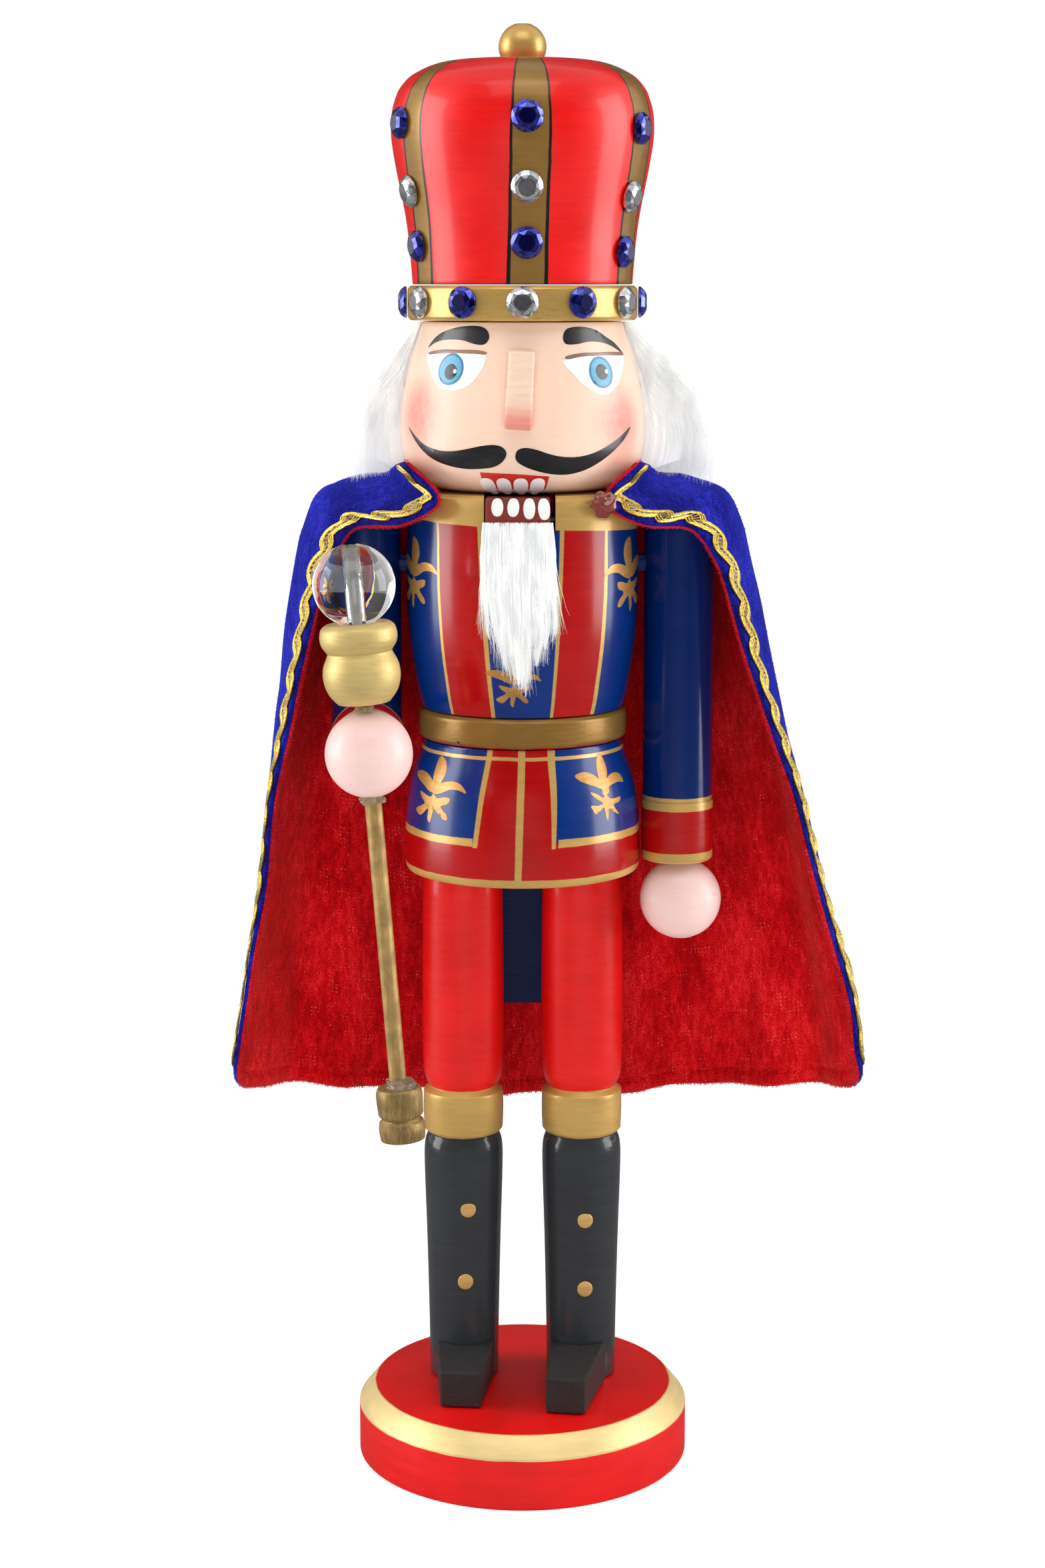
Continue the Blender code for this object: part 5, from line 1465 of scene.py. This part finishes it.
def cloth_at(x, y):
    """The same, for metres of cloth from a front edge and from the neck.

    The cape is narrower at the neck than at the hem, so only its middle is squeezed there: within 8 mm of
    a front edge the cloth keeps its true widths, and with them the rim, its seam and the braid.
    """
    kept, half = 0.008, HEM_LENGTH / 2
    down = min(max(y / EDGE_LENGTH, 0.0), 1.0)
    narrowing = HEM_LENGTH / ROW_LENGTHS[round(down * (CAPE_ROWS - 1))]
    near = min(x, HEM_LENGTH - x)
    if near < kept:
        near *= narrowing
    else:
        near = kept * narrowing + (near - kept) * (half - kept * narrowing) / (half - kept)
    return cape_at((near if x < half else HEM_LENGTH - near) / HEM_LENGTH, down)

# %% [markdown]
# The two velvets are sewn right sides together and turned, which leaves a soft rounded rim with a line of
# stitches a few millimetres in. The thickness of the sheet carries that: it rises from nothing at the rim,
# swells, dips at the seam and then stays even. The same grid makes both faces, and they meet at the rim.

# %% The cape as a sheet with a blue face and a red face
CLOTH_HALF = 0.0009
CORNER = 0.016


def rounded_corner(across_mm, down_mm):
    """Pull the hem's square corners round; both lengths are in metres of cloth."""
    for flip in (False, True):
        x = HEM_LENGTH - across_mm if flip else across_mm
        if x < CORNER and down_mm > EDGE_LENGTH - CORNER:
            u, v = 1 - x / CORNER, (down_mm - EDGE_LENGTH + CORNER) / CORNER
            x = CORNER * (1 - u * math.sqrt(1 - v * v / 2))
            down_mm = EDGE_LENGTH - CORNER + CORNER * v * math.sqrt(1 - u * u / 2)
            return (HEM_LENGTH - x if flip else x), down_mm
    return across_mm, down_mm


def half_thickness(rim, lining):
    """Half the sheet's thickness at a distance from its rim."""
    swell = math.sqrt(max(0.0, 1 - (1 - min(1.0, rim / 0.0012)) ** 2))
    puff = 0.35 * math.exp(-((rim - 0.0022) / 0.0012) ** 2)
    seam = -0.95 * math.exp(-((rim - 0.0046) / 0.0007) ** 2) if lining else 0.0
    return CLOTH_HALF * swell * (1 + puff + seam)


def cape_face(bm, side):
    """One face of the cape: side 1 is the blue outside, -1 the red lining."""
    made = bmesh.ops.create_grid(bm, x_segments=CAPE_COLUMNS + 16, y_segments=CAPE_ROWS + 44, size=0.5)
    weave = bm.loops.layers.uv.verify()
    for vert in made["verts"]:
        across, down = vert.co.x + 0.5, 0.5 - vert.co.y
        across -= 0.075 * math.sin(2 * math.pi * across)
        down += 0.12 * math.sin(math.pi * down)
        cloth_x, cloth_y = across * HEM_LENGTH, down * EDGE_LENGTH
        rim = min(cloth_x, HEM_LENGTH - cloth_x, EDGE_LENGTH - cloth_y, cloth_y)
        for face in vert.link_faces:
            for loop in face.loops:
                if loop.vert == vert:
                    loop[weave].uv = (cloth_x, cloth_y)
        cloth_x, cloth_y = rounded_corner(cloth_x, cloth_y)
        point, outward = cloth_at(cloth_x, cloth_y)
        vert.co = point + outward * side * half_thickness(rim, side < 0)
    faces = {face for vert in made["verts"] for face in vert.link_faces}
    for face in faces:
        face.material_index = 0 if side > 0 else 1
    if side < 0:
        bmesh.ops.reverse_faces(bm, faces=list(faces))

# %% Velvet, as a group for its pile and crush, with painted shade and sheen in its tone
velvet_group, given, result = new_group(
    "velvet pile", [("Pile", "Float", 2600.0), ("Crush", "Float", 70.0)],
    [("Tone", "Float"), ("Relief", "Float"), ("Backing", "Float")])
spot = object_spot(velvet_group)
weave_spot = add(velvet_group, "UVMap", uv_map="weave").outputs[0]
tufts = specks(velvet_group, spot, given["Pile"], 3.0, 0.7)
crush_spot = add(velvet_group, "Mapping", {"Vector": spot, "Scale": (1.0, 1.0, 0.55)}).outputs[0]
crush = specks(velvet_group, crush_spot, given["Crush"], 5.0, 0.62)
streak_spot = add(velvet_group, "Mapping", {"Vector": spot, "Scale": (1.0, 1.0, 0.3)}).outputs[0]
streaks = specks(velvet_group, streak_spot, 700.0, 3.0, 0.6)
# The tone is painted light: painted shade between the tufts, and a painted sheen on crushed patches where the
# pile would catch the light, with some streaks.
put(velvet_group, result["Tone"],
    calc(velvet_group, "ADD", calc(velvet_group, "MULTIPLY", ramp(velvet_group, tufts, 0.3, 0.7), 0.46),
         calc(velvet_group, "ADD", calc(velvet_group, "MULTIPLY", ramp(velvet_group, crush, 0.3, 0.7), 0.30),
              calc(velvet_group, "MULTIPLY", ramp(velvet_group, streaks, 0.3, 0.7), 0.24))))
put(velvet_group, result["Relief"], calc(velvet_group, "ADD", calc(velvet_group, "MULTIPLY", tufts, 0.6),
                                         calc(velvet_group, "MULTIPLY", streaks, 0.4)))
dots = add(velvet_group, "TexVoronoi", {"Vector": weave_spot, "Scale": 900.0, "Randomness": 0.2},
           feature="F1").outputs["Distance"]
bare = ramp(velvet_group, specks(velvet_group, spot, 240.0, 4.0, 0.7), 0.54, 0.62)
put(velvet_group, result["Backing"],
    calc(velvet_group, "MULTIPLY", ramp(velvet_group, dots, 0.22, 0.10), bare))


def velvet(name, dark, middle, light, sheen, backing):
    """A velvet with painted light: painted shade, darker between its tufts, and a painted sheen, lighter
    where the crushed pile would face the light.
    """
    material, tree, shader = new_finish(name, Sheen_Weight=0.8, Sheen_Roughness=0.35,
                                        Specular_IOR_Level=0.1)
    shader.inputs["Sheen Tint"].default_value = sheen
    pile = use(tree, velvet_group)
    # Dark, middle and light are shaded and lit copies of one velvet colour: painted shade and painted sheen.
    colour = mix(tree, ramp(tree, pile["Tone"], 0.22, 0.55), dark, middle)
    colour = mix(tree, ramp(tree, pile["Tone"], 0.55, 0.85), colour, light)
    if backing:
        colour = mix(tree, calc(tree, "MULTIPLY", pile["Backing"], 0.55), colour, backing)
    put(tree, shader.inputs["Base Color"], colour)
    put(tree, shader.inputs["Roughness"], ramp(tree, pile["Tone"], 0.2, 0.8, 0.95, 0.75))
    relief(tree, shader, pile["Relief"], 0.0005, 0.8)
    return material


blue_velvet = velvet("royal blue velvet", swatch(8, 8, 76), swatch(20, 20, 138), swatch(46, 52, 196),
                     swatch(70, 80, 255), None)
red_velvet = velvet("red velvet lining", swatch(158, 2, 8), swatch(214, 10, 22), swatch(250, 44, 50),
                    swatch(255, 90, 80), swatch(255, 150, 130))

# %% Join both faces at the rim
cape_bm = bmesh.new()
cape_face(cape_bm, 1)
cape_face(cape_bm, -1)
bmesh.ops.remove_doubles(cape_bm, verts=cape_bm.verts, dist=0.00002)
cape = finish_piece("cape_velvet", cape_bm, [blue_velvet, red_velvet], body=None,
                    stands_for=["cape_yoke", "cape_drape"], slot="velvet", sharp=120)
cape.data.uv_layers[0].name = "weave"
cape_area = sum(face.area for face in cape.data.polygons) / 2
print("cape sheet:", len(cape.data.polygons), "faces,", round(cape_area, 5), "square metres")

# %% [markdown]
# Velvet's edge is a blur of standing pile. Short fibres stand on the rim and, more thinly, all over both
# faces, so the cape's outline is soft from every side.

# %% Standing pile
def pile_paths(count, side, rim_only, seed, long=0.0008):
    """Short fibres that stand on one face of the cape."""
    dice = random.Random(seed)
    paths = []
    while len(paths) < count:
        if rim_only:
            in_mm = 0.0014 * dice.random() ** 1.5
            walk = dice.uniform(0, HEM_LENGTH + 2 * EDGE_LENGTH)
            if walk < EDGE_LENGTH:
                x, y = in_mm, walk
            elif walk < 2 * EDGE_LENGTH:
                x, y = HEM_LENGTH - in_mm, walk - EDGE_LENGTH
            else:
                x, y = walk - 2 * EDGE_LENGTH, EDGE_LENGTH - in_mm
        else:
            x, y = dice.uniform(0.001, HEM_LENGTH - 0.001), dice.uniform(0.001, EDGE_LENGTH - 0.001)
        rim = min(x, HEM_LENGTH - x, EDGE_LENGTH - y)
        inner = Vector((x, y))
        x, y = rounded_corner(x, y)
        point, outward = cloth_at(x, y)
        root = point + outward * side * half_thickness(rim, side < 0) * 0.9
        lean = Vector([dice.uniform(-1, 1) for _ in range(3)]) * 0.5 + Vector((0, 0, -0.35))
        if rim_only:
            beyond = cloth_at(x + math.copysign(0.003, HEM_LENGTH / 2 - inner.x)
                              * (inner.x < 0.002 or inner.x > HEM_LENGTH - 0.002),
                              y - 0.003 * (inner.y > EDGE_LENGTH - 0.002))[0]
            lean += (point - beyond).normalized() * 1.3
            direction = (outward * side * 0.7 + lean).normalized()
        else:
            direction = (outward * side + lean).normalized()
        tip = root + direction * long * dice.uniform(0.55, 1.15)
        middle = root.lerp(tip, 0.55) + outward * side * long * 0.08
        paths.append([root, middle, tip])
    return paths


red_pile = brush_paint("red pile", swatch(200, 8, 16), swatch(238, 30, 34), 0.7, 300.0)
blue_pile = brush_paint("blue pile", swatch(18, 20, 132), swatch(40, 46, 186), 0.7, 300.0)
cape_pieces = [
    fibre_piece("cape_rim_red", pile_paths(9000, -1, True, 31), 0.000055, red_pile, body=None),
    fibre_piece("cape_rim_blue", pile_paths(9000, 1, True, 32), 0.000055, blue_pile, body=None),
    fibre_piece("cape_pile_red", pile_paths(15000, -1, False, 33, 0.0007), 0.00005, red_pile, body=None),
    fibre_piece("cape_pile_blue", pile_paths(16000, 1, False, 34, 0.0006), 0.00005, blue_pile, body=None),
]

# %% [markdown]
# ## Gold braid
#
# The braid is a scroll gimp: gold cords run side by side in a snake, three of them sweep round the outside
# of each turn, and a lace of thinner thread knots the middle together. Each cord is a curve offset from
# the same snake, laid on the cape a few millimetres inside its edge, up one front, along the hem and down
# the other.

# %% The braid's route over the cape
BRAID_INSET = 0.0040
TURN_RADIUS = 0.0125


def braid_road(walk):
    """A place on the cloth, in metres from its corner, and the direction across the braid there."""
    down = EDGE_LENGTH - BRAID_INSET - TURN_RADIUS
    bend = math.pi / 2 * TURN_RADIUS
    along = HEM_LENGTH - 2 * (BRAID_INSET + TURN_RADIUS)
    if walk < down:
        return Vector((BRAID_INSET, walk)), Vector((-1, 0))
    walk -= down
    if walk < bend:
        angle = walk / TURN_RADIUS
        inwards = BRAID_INSET + TURN_RADIUS * (1 - math.cos(angle))
        return (Vector((inwards, down + TURN_RADIUS * math.sin(angle))),
                Vector((-math.cos(angle), math.sin(angle))))
    walk -= bend
    if walk < along:
        return Vector((BRAID_INSET + TURN_RADIUS + walk, EDGE_LENGTH - BRAID_INSET)), Vector((0, 1))
    walk -= along
    if walk < bend:
        angle = math.pi / 2 - walk / TURN_RADIUS
        return (Vector((HEM_LENGTH - BRAID_INSET - TURN_RADIUS * (1 - math.cos(angle)),
                        down + TURN_RADIUS * math.sin(angle))), Vector((math.cos(angle), math.sin(angle))))
    walk -= bend
    return Vector((HEM_LENGTH - BRAID_INSET, down - walk)), Vector((1, 0))


BRAID_LENGTH = (2 * (EDGE_LENGTH - BRAID_INSET - TURN_RADIUS) + math.pi * TURN_RADIUS
                + HEM_LENGTH - 2 * (BRAID_INSET + TURN_RADIUS))


def on_braid(walk, aside, height):
    """A point of the braid: how far along, how far aside, how high above the velvet."""
    walk = min(max(walk, 0.0), BRAID_LENGTH)
    place, across = braid_road(walk)
    place = place + across * aside
    point, outward = cloth_at(place.x, place.y)
    return point + outward * (CLOTH_HALF + 0.0003 + height)


def snake(walk, offset):
    """Where a cord lies that keeps an offset from the braid's winding middle line."""
    pitch, swing = 0.0094, 0.00140
    phase = 2 * math.pi * walk / pitch
    slope = swing * 2 * math.pi / pitch * math.cos(phase)
    scale = 1 / math.sqrt(1 + slope * slope)
    return walk - offset * slope * scale, swing * math.sin(phase) + offset * scale


cord_paths = []
for offset in (-0.00205, -0.00150, -0.00095, 0.00095, 0.00150, 0.00205):
    path = []
    steps = int(BRAID_LENGTH / 0.00042)
    for step in range(steps + 1):
        walk, aside = snake(BRAID_LENGTH * step / steps, offset)
        path.append(on_braid(walk, aside, 0.00034 + 0.00026 * (1 - abs(offset) / 0.0021)))
    cord_paths.append(path)
lace_paths = []
for shift in (0.0, 0.5):
    path = []
    stitches = int(BRAID_LENGTH / 0.00058)
    for stitch in range(stitches):
        side = 1 if stitch % 2 else -1
        walk, aside = snake(BRAID_LENGTH * (stitch + shift) / stitches, side * 0.00115)
        path.append(on_braid(walk, aside, 0.00052 + 0.0001 * side))
    lace_paths.append(path)

gold_cord, tree, shader = new_finish("gold braid cord", Metallic=1.0)
spot = object_spot(tree)
glitter = specks(tree, spot, 2600.0, 2.0, 0.7)
put(tree, shader.inputs["Base Color"], mix(tree, ramp(tree, glitter, 0.38, 0.62), swatch(222, 176, 58),
                                           swatch(255, 230, 130)))
put(tree, shader.inputs["Roughness"], ramp(tree, glitter, 0.3, 0.7, 0.22, 0.42))
relief(tree, shader, glitter, 0.00018)
pale_lace = brush_paint("pale gold lace", swatch(244, 232, 190), swatch(214, 178, 96),
                        0.35, 1600.0, 0.6, 0.0001)
braid = fibre_piece("cape_braid_cords", cord_paths, 0.00031, gold_cord, body=None, stands_for=["cape_braid"],
                    slot="gold_braid", sides=5, taper=False)
lace = fibre_piece("cape_braid_lace", lace_paths, 0.00019, pale_lace, body=None, slot="gold_braid", sides=4,
                   taper=False)
for piece in [cape, braid, lace, *cape_pieces]:
    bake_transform(piece)
print("braid length:", round(BRAID_LENGTH, 3), "m")

# %% [markdown]
# ## Stick-on stones
#
# The stones are acrylic, cut flat below and faceted above, with a mirror foil behind. The convex hull of a
# few rings of points gives the facets without listing a single face: a round girdle, a ring of eight
# points half way up and a ring of eight round the flat table. The foil is why they glitter, so the
# material is mostly metal, and small differences between facets come from a slight tilt of each point.
# Their reflections are also painted into the colour: each facet gets a painted glint of its own
# brightness, and the flat table is painted darker, a painted reflection of the dark room in front.

# %% A cut stone
GEM_RADIUS, GEM_HEIGHT = 0.0040, 0.0021


def stone_shape(bm, turn, seed):
    """A round brilliant stone that sits on Z = 0, turned a little about its axis."""
    dice = random.Random(seed)
    points = []
    for count, radius, height, offset in ((24, 1.0, 0.0, 0), (24, 1.0, 0.26, 0), (8, 0.80, 0.74, 0.5),
                                          (8, 0.50, 1.0, 0)):
        ring = bmesh.ops.create_circle(bm, segments=count, radius=radius * GEM_RADIUS)["verts"]
        spin = Matrix.Rotation(turn + offset * 2 * math.pi / count, 4, "Z")
        bmesh.ops.transform(bm, matrix=Matrix.Translation((0, 0, height * GEM_HEIGHT)) @ spin, verts=ring)
        if count == 8 and height < 1:
            for vert in ring:
                vert.co.z += dice.uniform(-0.00004, 0.00004)
        points += ring
    hull = bmesh.ops.convex_hull(bm, input=points)
    bmesh.ops.delete(bm, geom=list({*hull["geom_interior"], *hull["geom_unused"]}), context="VERTS")
    bmesh.ops.dissolve_limit(bm, angle_limit=math.radians(1.5), verts=bm.verts, edges=bm.edges)
    bmesh.ops.bevel(bm, geom=[edge for edge in bm.edges if edge.calc_face_angle(0) > math.radians(8)],
                    offset=0.00005, segments=1, profile=0.5, affect="EDGES", material=-1)


def foil_stone(name, deep, bright, table, rough):
    """Foil-backed acrylic with painted reflections: a painted glint on each facet, and a table painted
    darker.
    """
    material, tree, shader = new_finish(name, Coat_Weight=1.0, Coat_Roughness=0.03, Coat_IOR=1.5)
    spot = object_spot(tree)
    facet = add(tree, "VectorMath", {0: add(tree, "NewGeometry").outputs["True Normal"], 1: (7.3, 5.1, 6.7)},
                operation="MULTIPLY").outputs[0]
    # Painted glint: each facet gets a fixed brightness from its direction, standing in for the light its foil
    # throws back.
    glint = specks(tree, facet, 1.0, 0.0)
    mottle = specks(tree, spot, 900.0, 3.0, 0.7)
    level = add(tree, "Attribute", attribute_name="stone_level").outputs["Fac"]
    colour = mix(tree, ramp(tree, glint, 0.35, 0.65), deep, bright)
    # The table is painted darker, a painted reflection of the dark room in front.
    colour = mix(tree, ramp(tree, level, 0.9, 0.97), colour, table)
    put(tree, shader.inputs["Base Color"], shaded(tree, colour, ramp(tree, mottle, 0.3, 0.7, 0.72, 1.12)))
    put(tree, shader.inputs["Metallic"], ramp(tree, level, 0.85, 1.0, 0.9, 0.75))
    put(tree, shader.inputs["Roughness"], ramp(tree, mottle, 0.3, 0.7, rough, rough + 0.1))
    relief(tree, shader, mottle, 0.00003, 0.6)
    return material


blue_stone = foil_stone("blue stone", swatch(10, 12, 108), swatch(70, 84, 240), swatch(12, 14, 96), 0.12)
clear_stone = foil_stone("clear stone", swatch(176, 180, 188), swatch(255, 255, 255),
                         swatch(124, 124, 128), 0.16)

# %% Set every stone where the frame has it
def crown_slope(height):
    """How fast the crown widens with height."""
    return (radius_at(CROWN_SIDE, height + 0.003) - radius_at(CROWN_SIDE, height - 0.003)) / 0.006


def set_stone(name, place, outward, material, turn, seed, stands_for=(), slot=None):
    """A stone on the crown, facing outwards."""
    bm = bmesh.new()
    stone_shape(bm, turn, seed)
    frame_of_stone = Matrix.Translation(place) @ outward.to_track_quat("Z", "Y").to_matrix().to_4x4()
    heights = [vert.co.z / GEM_HEIGHT for vert in bm.verts]
    bmesh.ops.transform(bm, matrix=frame_of_stone, verts=bm.verts)
    stone = finish_piece(name, bm, material, stands_for=stands_for, slot=slot, sharp=3)
    for polygon in stone.data.polygons:
        polygon.use_smooth = False
    level = stone.data.attributes.new("stone_level", "FLOAT", "POINT")
    level.data.foreach_set("value", heights)
    return stone


def frame_stone_axis(node):
    """The middle of a frame stone's back and the direction it faces."""
    mesh = frame["nodes"][node].data
    centre = sum((vert.co for vert in mesh.vertices), Vector()) / len(mesh.vertices)
    spread = {}
    for polygon in mesh.polygons:
        key = tuple(round(part, 1) for part in polygon.normal)
        spread[key] = spread.get(key, 0) + polygon.area
    back = Vector(max(spread, key=spread.get)).normalized()
    exact = sum((polygon.normal * polygon.area for polygon in mesh.polygons
                 if polygon.normal.dot(back) > 0.97), Vector()).normalized()
    outward = -exact
    depth = min((vert.co - centre).dot(outward) for vert in mesh.vertices)
    middle = [vert.co for vert in mesh.vertices if (vert.co - centre).dot(outward) < depth + 1e-5]
    return sum(middle, Vector()) / len(middle), outward


dice = random.Random(5)
stones = sorted(name for name in frame["nodes"] if "_gem_" in name)
for number, node in enumerate(stones):
    place, outward = frame_stone_axis(node)
    band = node.startswith("band")
    blue = int(node.rsplit("_", 1)[1]) % 2 == (0 if band else 1)
    set_stone(f"{node}_cut", place, outward, blue_stone if blue else clear_stone,
              dice.uniform(0, 0.7), number, [node], "blue_stone" if blue else "clear_stone")
for row, height in enumerate((0.3262, 0.3397, 0.3558)):
    outward = Vector((0, 1, -crown_slope(height))).normalized()
    place = Vector((0, radius_at(CROWN_SIDE, height), height)) + outward * 0.0003
    set_stone(f"back_rib_gem_{row + 1}", place, outward, clear_stone if row == 1 else blue_stone,
              dice.uniform(0, 0.7), 60 + row)
print(len(stones) + 3, "stones set")

# %% [markdown]
# ## Frame pieces whose shape is right
#
# The nose, the lever, the shoes and the dowels were sawn, not turned, and the frame already has their true
# shape, so they only need their finish. The shoes are rough black wood, where end grain shows as small
# pits. The jaw is painted brown-red at the front and navy down its tail.

# %% Finishes for the sawn pieces
def carry_over(node, material):
    """Give a frame piece its real finish."""
    mesh = frame["nodes"][node].data
    mesh.materials.clear()
    mesh.materials.append(material)


def nose_mask(tree):
    """Red at the nose's lower end, fading upwards."""
    return calc(tree, "MULTIPLY", ramp(tree, use(tree, place_group)["Height"], 288.5, 281.0), 0.75)


def lever_tail(tree):
    """Behind the jaw's front."""
    behind = add(tree, "SeparateXYZ", {"Vector": object_spot(tree)}).outputs["Y"]
    return above(tree, calc(tree, "MULTIPLY", behind, 1 / MM), -21.0, 1.2, 0.4)


nose_paint = layered_paint("nose paint", [coat_of(swatch(244, 212, 188), rough=0.38),
                                          colour_where(nose_mask, swatch(228, 104, 92))], coat=0.2)
lever_paint = layered_paint("lever paint", [coat_of(swatch(128, 44, 38), rough=0.5),
                                            colour_where(lever_tail, swatch(14, 34, 84), 0.3)],
                            chips=0.04, depth=0.00012, coat=0.08)
carry_over("nose", nose_paint)
carry_over("jaw_lever", lever_paint)

shoe_paint, tree, shader = new_finish("rough black wood", Coat_Weight=0.1, Coat_Roughness=0.4)
spot = object_spot(tree)
along_sole = add(tree, "Mapping", {"Vector": spot, "Scale": (1.0, 0.6, 1.0)}).outputs[0]
pores = specks(tree, along_sole, 2100.0, 4.0, 0.7)
worn = ramp(tree, specks(tree, spot, 420.0, 4.0, 0.7), 0.58, 0.78, 0.0, 0.5)
blackened = mix(tree, pores, swatch(14, 13, 13), swatch(44, 41, 40))
put(tree, shader.inputs["Base Color"], mix(tree, worn, blackened, swatch(84, 76, 72)))
put(tree, shader.inputs["Roughness"], ramp(tree, pores, 0.3, 0.7, 0.42, 0.7))
relief(tree, shader, pores, 0.0007)
for node in ("left_shoe", "right_shoe"):
    carry_over(node, shoe_paint)

dowel_wood = gilded_wood("dowel wood", swatch(222, 190, 142), swatch(176, 136, 88), Vector((0, 0, 1)))
for node, finish in (("waist_dowel", dowel_wood), ("left_shoulder_dowel", navy_paint),
                     ("right_shoulder_dowel", navy_paint), ("right_elbow_dowel", navy_paint)):
    carry_over(node, finish)
pin_steel = brush_paint("pin steel", swatch(180, 182, 186), swatch(150, 152, 156), 0.25, 900.0, 1.0)
carry_over("pivot_pin", pin_steel)
print("sawn pieces finished")
